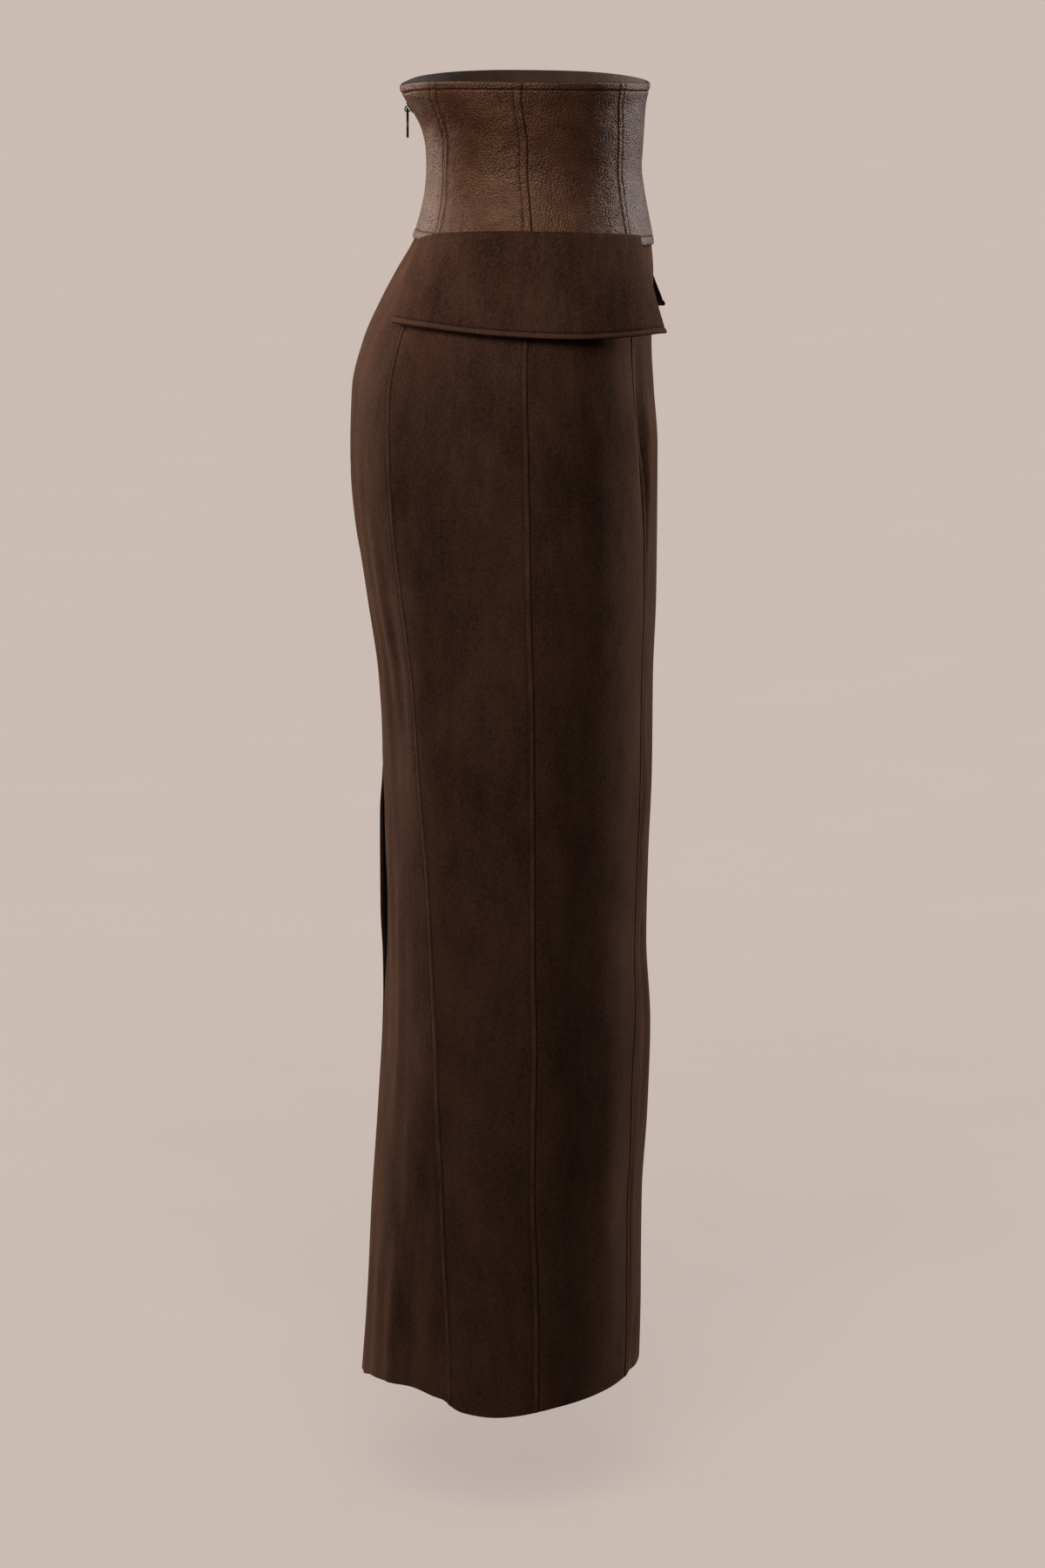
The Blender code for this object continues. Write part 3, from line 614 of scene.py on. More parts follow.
# %% Group: blotches
def make_blotches():
    tree, given, wanted = new_group(
        "blotches",
        [("Place", "Vector", None), ("Size", "Float", 0.03), ("Stretch", "Float", 1.5),
         ("Softness", "Float", 0.2), ("Detail", "Float", 3.0)],
        [("Mask", "Float")])
    across = calculate(tree, "DIVIDE", 1.0, given["Size"])
    along = calculate(tree, "DIVIDE", across, given["Stretch"])
    squeeze = add_node(tree, "CombineXYZ", {0: across, 1: along})
    place = vector_math(tree, "MULTIPLY", given["Place"], squeeze.outputs[0])
    noise = add_node(tree, "TexNoise", {"Vector": place, "Scale": 1.0, "Detail": given["Detail"],
                                        "Roughness": 0.55}, noise_dimensions="2D")
    low = calculate(tree, "SUBTRACT", 0.5, given["Softness"])
    high = calculate(tree, "ADD", 0.5, given["Softness"])
    mask = add_node(tree, "MapRange", {"Value": noise.outputs[0], "From Min": low, "From Max": high})
    tree.links.new(mask.outputs[0], wanted["Mask"])
    return tree


BLOTCHES = make_blotches()


def blotches(tree, place, size, stretch, softness, detail):
    """The mask of a blotches group."""
    return use_group(tree, BLOTCHES, {"Place": place, "Size": size, "Stretch": stretch,
                                      "Softness": softness, "Detail": detail})[0]


# %% [markdown]
# ** Rubbed edges and groove shade.** The "raised" value lightens what stands up and is rubbed, such as the
# bands beside the seams, and darkens the grooves with painted shade.
# darkens the grooves, where dust and shade gather.

# %% Group: rubbed edges and painted groove shade
def make_rubbing_and_groove_shade():
    tree, given, wanted = new_group(
        "rubbed edges and groove shade",
        [("Colour", "Color", None), ("Raised", "Float", 0.0), ("Rubbed", "Color", None),
         ("Amount", "Float", 0.4), ("Groove", "Float", 0.5)],
        [("Colour", "Color")])
    high = calculate(tree, "MULTIPLY", ramp(tree, given["Raised"], 0.25, 1.0), given["Amount"])
    light = mix_colours(tree, high, given["Colour"], given["Rubbed"])
    # painted shade: the grooves are darkened towards black
    deep = calculate(tree, "MULTIPLY", ramp(tree, given["Raised"], -0.15, -1.0), given["Groove"])
    dark = mix_colours(tree, deep, light, (0.0, 0.0, 0.0, 1.0))
    tree.links.new(dark, wanted["Colour"])
    return tree


RUBBING_AND_GROOVE_SHADE = make_rubbing_and_groove_shade()


def rub_and_shade_grooves(tree, colour, rubbed, amount, groove):
    """A colour with the mesh's raised places rubbed lighter and its grooves darkened with painted shade."""
    raised = add_node(tree, "Attribute", attribute_name="raised").outputs["Fac"]
    return use_group(tree, RUBBING_AND_GROOVE_SHADE, {"Colour": colour, "Raised": raised, "Rubbed": rubbed,
                                     "Amount": amount, "Groove": groove})[0]


# %% [markdown]
# **Fibres.** Close up, suede and flesh side are all short fibres. Two noises, one fine and one drawn out,
# give a height for the bump and a mask for the colour.

# %% Group: fibres
def make_fibres():
    tree, given, wanted = new_group(
        "fibres",
        [("Place", "Vector", None), ("Size", "Float", 0.0007), ("Stretch", "Float", 2.5)],
        [("Height", "Float"), ("Mask", "Float")])
    fine = blotches(tree, given["Place"], given["Size"], 1.0, 0.3, 2.0)
    longer = calculate(tree, "MULTIPLY", given["Size"], 2.2)
    drawn = blotches(tree, given["Place"], longer, given["Stretch"], 0.3, 2.0)
    both = calculate(tree, "MULTIPLY", calculate(tree, "ADD", fine, drawn), 0.5)
    tree.links.new(both, wanted["Height"])
    tree.links.new(drawn, wanted["Mask"])
    return tree


FIBRES = make_fibres()
print("node groups:", [g.name for g in bpy.data.node_groups])

# %% [markdown]
# ## Suede
#
# Suede swallows light seen straight on, but its nap catches light at a grazing angle, as the shader's sheen
# does. The colour is mixed from a dark and a light brown by blotches of several sizes. Painted light makes it
# lighter at the hip and on the flaps, and painted shade makes it darker towards the hem.

# %% Material: suede
def start_material(name, **plain):
    """A material whose Principled shader has these plain numbers, its tree and its shader."""
    material = bpy.data.materials.new(name)
    material.use_nodes = True
    tree = material.node_tree
    shader = tree.nodes["Principled BSDF"]
    for key, value in plain.items():
        shader.inputs[key.replace("_", " ")].default_value = value
    return material, tree, shader


def cloth_place(tree):
    """The cloth's own UV map in metres."""
    return add_node(tree, "UVMap", uv_map="Cloth").outputs["UV"]


def add_bump(tree, shader, height, distance, strength=1.0):
    """Bump from a height, into the shader's normal."""
    bump = add_node(tree, "Bump", {"Height": height, "Distance": distance, "Strength": strength})
    tree.links.new(bump.outputs[0], shader.inputs["Normal"])


SUEDE_DARK = (0.0152, 0.0072, 0.0046, 1.0)
SUEDE_LIGHT = (0.0605, 0.0305, 0.0200, 1.0)
SUEDE_RUBBED = (0.0950, 0.0500, 0.0320, 1.0)
# painted shade towards the hem, and painted light at the hip and on the flaps
SUEDE_HEM_SHADE = (0.0150, 0.0072, 0.0048, 1.0)
SUEDE_HIP_PAINTED_LIGHT = (1.32, 1.29, 1.26, 1.0)
SUEDE_PATCH_TINT = (1.06, 0.97, 0.92, 1.0)
NAP_TINT = (0.62, 0.36, 0.24, 1.0)
SUEDE_BLOTCHES = (      # size, stretch, softness, detail, weight
    (0.080, 2.0, 0.21, 2.0, 0.19), (0.022, 2.2, 0.22, 2.0, 0.15), (0.008, 4.0, 0.22, 1.0, 0.08),
    (0.0030, 1.5, 0.20, 2.0, 0.16), (0.0014, 1.3, 0.17, 2.0, 0.22), (0.0009, 1.2, 0.14, 2.0, 0.20))
SUEDE_PATCHES = (0.045, 2.5, 0.18, 3.0)
FLESH_PATCHES = (0.018, 1.3, 0.25, 3.0)


def make_suede():
    material, tree, shader = start_material(
        "suede_nap", Roughness=0.95, Sheen_Weight=0.12, Sheen_Roughness=0.30, Sheen_Tint=NAP_TINT,
        Specular_IOR_Level=0.05)
    place = cloth_place(tree)
    total = 0.0
    for *pattern, weight in SUEDE_BLOTCHES:
        total = add_share(tree, total, blotches(tree, place, *pattern), weight)
    tone = add_node(tree, "MapRange", {"Value": total, "From Min": 0.20, "From Max": 0.78}).outputs[0]
    colour = mix_colours(tree, tone, SUEDE_DARK, SUEDE_LIGHT)
    height = add_node(tree, "SeparateXYZ", {0: place}).outputs["Y"]
    # painted shade: the suede is darker towards the hem, where less light reaches
    lower = ramp(tree, height, -0.15, -0.95)
    colour = mix_colours(tree, calculate(tree, "MULTIPLY", lower, 0.34), colour, SUEDE_HEM_SHADE)
    # painted light: lighter at the hip and on the flaps, which face up towards the key light
    painted_light_at_hip = ramp(tree, height, -0.240, -0.090)
    colour = mix_colours(tree, painted_light_at_hip, colour, SUEDE_HIP_PAINTED_LIGHT, "MULTIPLY")
    patches = blotches(tree, place, *SUEDE_PATCHES)
    colour = mix_colours(tree, patches, colour, SUEDE_PATCH_TINT, "MULTIPLY")
    # raised places rubbed lighter, and painted shade in the grooves
    colour = rub_and_shade_grooves(tree, colour, SUEDE_RUBBED, 0.45, 0.55)
    fibres = use_group(tree, FIBRES, {"Place": place, "Size": 0.0008, "Stretch": 2.2})
    feed(tree, shader, {"Base Color": colour, "Roughness": ramp(tree, fibres[1], 0.0, 1.0, 0.88, 1.0)})
    add_bump(tree, shader, fibres[0], 0.00035, 0.8)
    return material


def colour_and_polish(tree, shader, tone, dark, light, mask, *rough):
    """A base colour mixed by a tone, and a roughness that follows a mask."""
    feed(tree, shader, {"Base Color": mix_colours(tree, tone, dark, light),
                        "Roughness": ramp(tree, mask, *rough)})


def make_inside(name, fibre, patchy, dark, light, rough, bump, **plain):
    """The hidden side of the cloth or leather: fibres, and if patchy, broad patches too."""
    material, tree, shader = start_material(name, Roughness=0.9, Sheen_Roughness=0.5, **plain)
    place = cloth_place(tree)
    fibres = use_group(tree, FIBRES, {"Place": place, "Size": fibre[0], "Stretch": fibre[1]})
    tone = fibres[1]
    if patchy:
        patches = blotches(tree, place, *FLESH_PATCHES)
        tone = calculate(tree, "MULTIPLY", calculate(tree, "ADD", tone, patches), 0.5)
    colour_and_polish(tree, shader, tone, dark, light, fibres[1], 0.0, 1.0, *rough)
    add_bump(tree, shader, fibres[0], bump)
    return material


SUEDE = make_suede()
CLOTH_BACK = make_inside("suede_cloth_back", (0.0009, 4.0), False, (0.010, 0.0070, 0.0055, 1.0),
                         (0.024, 0.0160, 0.0125, 1.0), (0.82, 0.95), 0.0003, Sheen_Weight=0.1,
                         Specular_IOR_Level=0.2)

# %% [markdown]
# ## Leather
#
# The waist is grained leather: rounded pebbles in slanting rows, with fine valleys between. Cells of a
# Voronoi texture make them, wider than tall, and bent by a noise so that no row is straight. The tops of
# the pebbles are smoother than the valleys, which gives the sparkle in a bright light.

# %% Material: leather
LEATHER_DEEP = (0.0250, 0.0095, 0.0046, 1.0)
LEATHER_BROWN = (0.1290, 0.0500, 0.0235, 1.0)
LEATHER_RUBBED = (0.1300, 0.0650, 0.0400, 1.0)
LEATHER_TINT = (1.0, 0.66, 0.50, 1.0)         # colours the light it mirrors
PEBBLE_WIDE, PEBBLE_TALL = 2.7 * MM, 1.6 * MM
BEND_SCALE, BEND = 48.0, 6.5 * MM
FINE_GRAIN = (0.0006, 1.0, 0.3, 2.0)          # blotches: size, stretch, softness, detail
BROAD_TONE = (0.022, 0.8, 0.2, 3.0)
WRINKLES = (0.016, 0.5, 0.5, 1.0)


def make_leather():
    material, tree, shader = start_material("leather_grain", Roughness=0.42, Specular_IOR_Level=0.68,
                                            Specular_Tint=LEATHER_TINT)
    place = cloth_place(tree)
    noise = add_node(tree, "TexNoise", {"Vector": place, "Scale": BEND_SCALE, "Detail": 1.0},
                     noise_dimensions="2D")
    bend = vector_math(tree, "SUBTRACT", noise.outputs["Color"], (0.5, 0.5, 0.5))
    bent = vector_math(tree, "ADD", place, vector_math(tree, "MULTIPLY", bend, (BEND, BEND, BEND)))
    cells = vector_math(tree, "MULTIPLY", bent, (1 / PEBBLE_WIDE, 1 / PEBBLE_TALL, 1.0))
    domes = add_node(tree, "TexVoronoi", {"Vector": cells, "Scale": 1.0, "Randomness": 0.72},
                     voronoi_dimensions="2D", feature="F1")
    pebble = ramp(tree, domes.outputs["Distance"], 0.08, 0.66, 1.0, 0.0)
    fine = blotches(tree, place, *FINE_GRAIN)
    broad = blotches(tree, place, *BROAD_TONE)
    tone = add_share(tree, calculate(tree, "MULTIPLY", pebble, 0.65), broad, 0.35)
    colour = mix_colours(tree, tone, LEATHER_DEEP, LEATHER_BROWN)
    # raised places rubbed lighter, and painted shade in the grooves
    colour = rub_and_shade_grooves(tree, colour, LEATHER_RUBBED, 0.08, 0.6)
    shine = add_share(tree, ramp(tree, pebble, 0.0, 1.0, 0.64, 0.28), broad, -0.05)
    feed(tree, shader, {"Base Color": colour, "Roughness": shine})
    height = add_share(tree, add_share(tree, pebble, fine, 0.10), blotches(tree, place, *WRINKLES), 2.4)
    add_bump(tree, shader, height, 0.00030)
    return material


LEATHER = make_leather()
FLESH = make_inside("leather_flesh_side", (0.0010, 1.6), True, (0.030, 0.0165, 0.0110, 1.0),
                    (0.070, 0.0410, 0.0270, 1.0), (0.8, 0.97), 0.0004, Sheen_Weight=0.15,
                    Specular_IOR_Level=0.25)

# %% [markdown]
# ## Thread, tape and metal
#
# A wave texture across the thread gives its plies. The zip's tape is woven, so two waves cross. The metal
# is a dark bronze with fine scratches.

# %% Materials: thread, tape and metal
TAPE_DARK, TAPE_LIGHT = (0.006, 0.0035, 0.0025, 1.0), (0.030, 0.0185, 0.0135, 1.0)
METAL_DARK, METAL_LIGHT = (0.022, 0.016, 0.012, 1.0), (0.085, 0.064, 0.046, 1.0)


def object_place(tree):
    """The object's own coordinates, which are metres in this frame."""
    return add_node(tree, "TexCoord").outputs["Object"]


def make_thread(name, dark, light, roughness):
    material, tree, shader = start_material(name, Roughness=roughness, Specular_IOR_Level=0.15)
    plies = add_node(tree, "TexWave", {"Vector": object_place(tree), "Scale": 620.0, "Distortion": 1.5,
                                       "Detail": 1.0}, bands_direction="DIAGONAL").outputs["Fac"]
    colour_and_polish(tree, shader, plies, dark, light, plies, 0.0, 1.0, roughness - 0.1, roughness + 0.1)
    add_bump(tree, shader, plies, 0.00015)
    return material


def make_tape_cloth():
    material, tree, shader = start_material("zip_tape_weave", Roughness=0.85, Specular_IOR_Level=0.25)
    place = object_place(tree)
    warp, weft = (add_node(tree, "TexWave", {"Vector": place, "Scale": scale, "Distortion": 0.4},
                           bands_direction=direction).outputs["Fac"]
                  for scale, direction in ((420.0, "X"), (360.0, "Z")))
    weave = calculate(tree, "MAXIMUM", warp, weft)
    colour_and_polish(tree, shader, weave, TAPE_DARK, TAPE_LIGHT, weave, 0.0, 1.0, 0.92, 0.75)
    add_bump(tree, shader, weave, 0.0002)
    return material


def make_metal():
    material, tree, shader = start_material("bronze_metal", Metallic=1.0, Roughness=0.34)
    place = object_place(tree)
    scratches, cloud = (
        add_node(tree, "TexNoise", {"Vector": place, "Scale": scale, "Detail": detail}).outputs["Fac"]
        for scale, detail in ((1400.0, 3.0), (260.0, 2.0)))
    colour_and_polish(tree, shader, cloud, METAL_DARK, METAL_LIGHT, scratches, 0.3, 0.7, 0.26, 0.46)
    add_bump(tree, shader, scratches, 0.00004)
    return material


SUEDE_THREAD = make_thread("suede_thread", (0.010, 0.0045, 0.0030, 1), (0.034, 0.0160, 0.0105, 1), 0.8)
LEATHER_THREAD = make_thread("leather_thread", (0.026, 0.0110, 0.0065, 1), (0.075, 0.0330, 0.0190, 1), 0.7)
TAPE_CLOTH = make_tape_cloth()
METAL = make_metal()
print(len(bpy.data.materials), "materials so far")

# %% [markdown]
# ## The leather waist
#
# Each panel is cut along its own direction, so the rows of grain slant differently. The top edge is turned
# in and stitched, and the lower edge laps over the suede. Each seam is pressed to one side and stitched
# 7 mm away: behind the back and side seams, and in front of the front ones.

# %% Make the waist
LEATHER_FACE = 2.1 * MM
LEATHER_BACK = 0.3 * MM
GRAIN_ANGLES = {"front": 4, "side_front": 16, "side_back": -19, "back": 10}      # degrees
STITCHED_SIDE = {"front": ("start", "end"), "side_front": (), "side_back": ("start",), "back": ("start",)}
LEATHER_RAISED = 0.6 * MM        # the relief at which a surface counts as fully raised and rubbed
LEATHER_TURN = -0.9 * MM         # how much thicker the leather is where its top is turned in
LEATHER_TURN_END = (13.2 * MM, 14.2 * MM)
WAIST_ROWS, WAIST_COLUMNS = 34, 16


def both_hands(panel):
    """The name endings and hands of a panel: one for the centre front, two for the others."""
    return (("", 1),) if panel == "front" else (("_right", -1), ("_left", 1))


def cloth_map(layout, angle, number):
    """The UV map of a net of cloth, in metres, turned to its grain and moved so that no two panels match."""
    turn = math.radians(angle) * (1 if layout.shares.mean() < 0 else -1)
    along = (layout.shares - layout.shares.mean(axis=1, keepdims=True)) * half_girth(layout.heights)
    u = along * math.cos(turn) - layout.heights * math.sin(turn) + 1.37 * number
    v = along * math.sin(turn) + layout.heights * math.cos(turn)
    return np.stack((u, v), axis=-1)


def seam_relief(layout, panel, stitched, plain):
    """The lift beside a panel's two long edges."""
    sides = {"start": layout.across, "end": layout.width - layout.across}
    lift = 0.0
    for side, distance in sides.items():
        trim = stitched if side in STITCHED_SIDE[panel] else plain
        lift = lift + trimmed(distance, trim, layout.heights)
    return lift


def dress(piece, node):
    """Attach a piece of cloth to the garment, and hide the CAD part that it replaces."""
    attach(piece, "garment")
    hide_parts(node)


for number, panel in enumerate(PANELS):
    for suffix, hand in both_hands(panel):
        layout = lay_out(panel, hand, waist_top, waist_foot, ruler(NEAR_EDGE, NEAR_EDGE, WAIST_ROWS),
                         ruler(NEAR_SEAM, NEAR_SEAM, WAIST_COLUMNS))
        relief = seam_relief(layout, panel, LEATHER_SEAM, LEATHER_PLAIN)
        relief = relief + trimmed(layout.down, LEATHER_TOP, layout.across)
        relief = relief + trimmed(layout.length - layout.down, LEATHER_FOOT, layout.across)
        turned_in = LEATHER_TURN * (1 - ease(layout.down, *LEATHER_TURN_END))
        outer = lifted(layout.shares, layout.heights, LEATHER_FACE + relief)[0]
        inner = lifted(layout.shares, layout.heights, LEATHER_BACK + turned_in)[0]
        node = f"waist_{panel}{suffix}"
        cloth = cloth_map(layout, GRAIN_ANGLES[panel], 2 * number + hand)
        piece = wall("leather_" + node, outer, inner, cloth, relief / LEATHER_RAISED, (LEATHER, FLESH))
        dress(piece, node)

# %% [markdown]
# ## The suede panels
#
# The skirt's panels hang from the waist. Their seams are stitched 5.5 mm away. The hem is turned up inside,
# and the slit's two edges are turned in.

# %% Make the skirt
SUEDE_BACK = -1.6 * MM
SUEDE_RAISED, FLAP_RAISED = 0.75 * MM, 0.45 * MM
HEM_TURN = -1.1 * MM             # how much thicker the cloth is where it is turned in
HEM_TURN_END = (29.6 * MM, 31.0 * MM)
SLIT_TURN_END = (9.6 * MM, 11.4 * MM)
SLIT_TURN_START = (20 * MM - ZIP_FOOT, 30 * MM - ZIP_FOOT)      # below the waist
NEAR_HEM = np.array([0, 0.2, 0.5, 1.0, 1.8, 3.2, 6.0, 10.0, 16.0, 23.0, 29.5, 31.0, 34.0]) * MM
NEAR_LAP = np.array([0, 3.0, 6.0, 9.0, 12.0]) * MM
SKIRT_ROWS = 190
SKIRT_COLUMNS = {"front": 30, "side_front": 20, "side_back": 18, "back": 20}

for number, panel in enumerate(PANELS):
    for suffix, hand in both_hands(panel):
        layout = lay_out(panel, hand, lambda s: waist_foot(s) + SEAM_LAP, hem,
                         ruler(NEAR_LAP, NEAR_HEM, SKIRT_ROWS),
                         ruler(NEAR_SEAM, NEAR_SEAM, SKIRT_COLUMNS[panel]))
        under_leather = 1 - ease(layout.down, SEAM_LAP, SEAM_LAP + 4 * MM)
        relief = seam_relief(layout, panel, SUEDE_SEAM, PLAIN)
        relief = relief + trimmed(layout.length - layout.down, SUEDE_HEM)
        relief = np.where(under_leather > 0, np.minimum(relief, relief * (1 - under_leather)), relief)
        turned_in = HEM_TURN * (1 - ease(layout.length - layout.down, *HEM_TURN_END))
        if panel == "back":
            beside = layout.width - layout.across
            turned_in = np.minimum(turned_in, HEM_TURN * (1 - ease(beside, *SLIT_TURN_END))
                                   * ease(-layout.heights, *SLIT_TURN_START))
        outer = lifted(layout.shares, layout.heights, relief)[0]
        inner = lifted(layout.shares, layout.heights, SUEDE_BACK + turned_in)[0]
        node = f"skirt_{panel}{suffix}"
        cloth = cloth_map(layout, 0, 2 * number + hand + 20)
        piece = wall("suede_" + node, outer, inner, cloth, relief / SUEDE_RAISED, (SUEDE, CLOTH_BACK))
        dress(piece, node)

# %% [markdown]
# ## The hip flaps
#
# A flap is a double layer that folds down over the leather's lower edge. It lies close at the back and
# stands away at its front corner. Its fold is a soft roll, and its lower edge is rolled and stitched.

# %% Make the flaps
Flap = namedtuple("Flap", "place top right_foot left_foot right_lift left_lift")
FLAP = [Flap(*row) for row in (
    (0.00, -59.8, -130.0, -129.0, 3.2, 3.2),
    (0.17, -53.5, -132.0, -131.0, 4.0, 4.2),
    (0.45, -50.6, -137.5, -135.0, 6.5, 7.5),
    (0.70, -51.8, -140.5, -136.5, 9.5, 11.0),
    (0.85, -53.5, -139.5, -133.5, 16.5, 18.5),
    (1.00, -56.4, -137.0, -128.5, 26.5, 29.5),
)]
FLAP_BACK_SHARES = (0.832, 0.757)
FLAP_FRONT_SHARES = (0.203, 0.212)
FLAP_KICK = 1.45
FLAP_THICK = 3.0 * MM
FLAP_TOP_LIFT = LEATHER_FACE + 0.5 * MM
FLAP_WIDE = 0.33                 # metres from the back corner to the front one
FLAP_ROWS, FLAP_COLUMNS = 26, 86


def flap_place(hand, place, down):
    """Shares, heights and the lining side's lift at places along a flap and parts of the way down it."""
    side = "right" if hand < 0 else "left"
    top = smooth(FLAP, "top", place) * MM
    foot = smooth(FLAP, side + "_foot", place) * MM
    back = FLAP_BACK_SHARES[0] + (FLAP_BACK_SHARES[1] - FLAP_BACK_SHARES[0]) * down
    front = FLAP_FRONT_SHARES[0] + (FLAP_FRONT_SHARES[1] - FLAP_FRONT_SHARES[0]) * down
    foot_lift = smooth(FLAP, side + "_lift", place) * MM
    lift = FLAP_TOP_LIFT + (foot_lift - FLAP_TOP_LIFT) * down ** FLAP_KICK
    return hand * (back + (front - back) * place), top + (foot - top) * down, lift, top - foot


def flap_net(hand):
    """A flap's net: places and parts down, and the distances to its edges."""
    fixed_down, share_down = (m[:, None] for m in ruler(NEAR_EDGE[:10], NEAR_EDGE, FLAP_ROWS))
    fixed_across, share_across = ruler(NEAR_EDGE[:7], NEAR_EDGE[:7], FLAP_COLUMNS)
    across = np.broadcast_to(fixed_across + share_across * FLAP_WIDE, (len(fixed_down), len(fixed_across)))
    place = across / FLAP_WIDE
    deep = flap_place(hand, place, 0.5)[3]
    down = fixed_down + share_down * deep
    return place, np.clip(down / deep, 0.0, 1.0), across, FLAP_WIDE - across, down, deep - down


for suffix, hand in both_hands("flap"):
    place, part, from_back, from_front, from_top, from_foot = flap_net(hand)
    shares, heights, lift, _ = flap_place(hand, place, part)
    relief = trimmed(from_foot, FLAP_HEM, from_back) + trimmed(from_top, FLAP_FOLD)
    relief = relief + trimmed(from_back, FLAP_SIDE) + trimmed(from_front, FLAP_SIDE)
    tuck = 0.6 * MM * (1 - ease(from_foot, 0.0, 1.5 * MM))
    outer = lifted(shares, heights, lift + FLAP_THICK + relief)[0]
    inner = lifted(shares, heights, lift + tuck)[0]
    along = (shares - shares.mean(axis=1, keepdims=True)) * half_girth(heights)
    cloth_uv = np.stack((along + 40 + hand, heights), axis=-1)
    piece = wall("suede_flap" + suffix, outer, inner, cloth_uv, relief / FLAP_RAISED, (SUEDE, SUEDE))
    dress(piece, "flap" + suffix)

# %% [markdown]
# ## Stitches
#
# Each stitch is a short, plump piece of thread that dips into the cloth at both ends. They are laid along
# paths on the cloth, and all stitches of one kind are joined in one mesh.

# %% Lay stitches along paths
RING_SIDES = 5
PATH_POINTS = 900
STITCH_LENGTH = 0.80             # of the pitch
STITCH_TILT = 0.10
SUEDE_SINK = 0.22 * MM           # how deep the middle of a stitch lies under the cloth's face
LEATHER_SINK = 0.25 * MM
FLAP_SINK = 0.42 * MM


def one_stitch():
    """A stitch of length and thickness 1: its points as (along, across, out), and its faces."""
    points = [(-0.5, 0.0, -0.5)]
    for along in (-0.26, 0.26):
        for i in range(RING_SIDES):
            angle = math.tau * i / RING_SIDES
            points.append((along, 0.5 * math.cos(angle), 0.5 * math.sin(angle)))
    points.append((0.5, 0.0, -0.5))
    last = len(points) - 1
    faces = []
    for i in range(RING_SIDES):
        j = (i + 1) % RING_SIDES
        faces.append((0, 1 + j, 1 + i, 1 + i))
        faces.append((1 + i, 1 + j, 1 + RING_SIDES + j, 1 + RING_SIDES + i))
        faces.append((last, 1 + RING_SIDES + i, 1 + RING_SIDES + j, 1 + RING_SIDES + j))
    return np.array(points), faces


def lay_stitches(paths, pitch, thick):
    """All stitches along paths of (points, normals): their points and faces."""
    shape, faces = one_stitch()
    all_points, all_faces = [], []
    for points, normals in paths:
        run = np.concatenate(([0.0], np.cumsum(np.linalg.norm(np.diff(points, axis=0), axis=1))))
        middles = np.arange(pitch * 0.6, run[-1] - pitch * 0.5, pitch)
        here, ahead, out = (
            np.stack([np.interp(place, run, values[:, i]) for i in range(3)], axis=1)
            for place, values in ((middles, points), (middles + 0.2 * MM, points), (middles, normals)))
        along = ahead - here
        along /= np.linalg.norm(along, axis=1)[:, None]
        out -= along * (out * along).sum(axis=1)[:, None]
        out /= np.linalg.norm(out, axis=1)[:, None]
        aside = np.cross(out, along)
        tilt = STITCH_TILT * aside
        size = pitch * STITCH_LENGTH
        made = (here[:, None] + shape[None, :, :1] * size * (along + tilt)[:, None]
                + shape[None, :, 1:2] * thick * aside[:, None] + shape[None, :, 2:] * thick * out[:, None])
        start = sum(len(p) for p in all_points)
        all_points.append(made.reshape(-1, 3))
        for i in range(len(middles)):
            base = start + i * len(shape)
            all_faces.extend([tuple(dict.fromkeys(base + k for k in face)) for face in faces])
    return np.concatenate(all_points), all_faces


def stitch_piece(name, paths, pitch, thick, material):
    """A joined mesh of stitches that rides on the garment."""
    points, faces = lay_stitches(paths, pitch, thick)
    piece = mesh_object(name, points, faces, material)
    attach(piece, "garment")
    print(f"{name}: {len(points) // (2 + 2 * RING_SIDES)} stitches")


def seam_path(panel, hand, side, offset, top, foot, lift):
    """A path beside a panel's first seam, or either seam of the front, at an offset into the panel."""
    name = PANELS[panel][0]
    inward = hand
    if panel == "front":
        hand = -1 if side == "start" else 1
        inward = -hand
    share = 0.5 * hand
    down = np.linspace(0.0, 1.0, PATH_POINTS)
    for _ in range(5):
        high, low = top(share), foot(share)
        level = high + (low - high) * down
        share = seam_share(name, level, hand) + inward * offset / half_girth(level)
    return lifted(share, level, lift)


def round_path(hand, height, offset, lift, end):
    """A path from the centre front to an end share, at an offset above or below an edge."""
    share = hand * np.linspace(0.0, end, PATH_POINTS)
    return lifted(share, height(share) + offset, lift)


leather_paths, suede_paths, flap_paths = [], [], []
for panel, sides in STITCHED_SIDE.items():
    for _, hand in both_hands(panel):
        for side in sides:
            leather_paths.append(seam_path(
                panel, hand, side, LEATHER_SEAM.band * MM, lambda s: waist_top(s) - 8 * MM,
                lambda s: waist_foot(s) + 8.5 * MM, LEATHER_FACE - LEATHER_SINK))
            suede_paths.append(seam_path(
                panel, hand, side, SUEDE_SEAM.band * MM, lambda s: waist_foot(s) - 2 * MM,
                lambda s: hem(s) + 3 * MM, -SUEDE_SINK))
for hand in (-1, 1):
    for edge, offset, sink, end in ((waist_top, -LEATHER_TOP.band, 0.4, 0.972),
                                    (waist_foot, LEATHER_FOOT.band, 0.3, 0.985)):
        leather_paths.append(round_path(hand, edge, offset * MM, LEATHER_FACE - sink * MM, end))
    along = np.linspace(0.006, 0.994, PATH_POINTS)
    deep = flap_place(hand, along, 0.5)[3]
    shares, heights, lift, _ = flap_place(hand, along, 1 - FLAP_HEM.band * MM / deep)
    flap_paths.append(lifted(shares, heights, lift + FLAP_THICK - FLAP_SINK))

stitch_piece("stitches_leather", leather_paths, 3.0 * MM, 0.55 * MM, LEATHER_THREAD)
stitch_piece("stitches_suede", suede_paths, 3.2 * MM, 0.5 * MM, SUEDE_THREAD)
stitch_piece("stitches_flaps", flap_paths, 3.0 * MM, 0.5 * MM, SUEDE_THREAD)

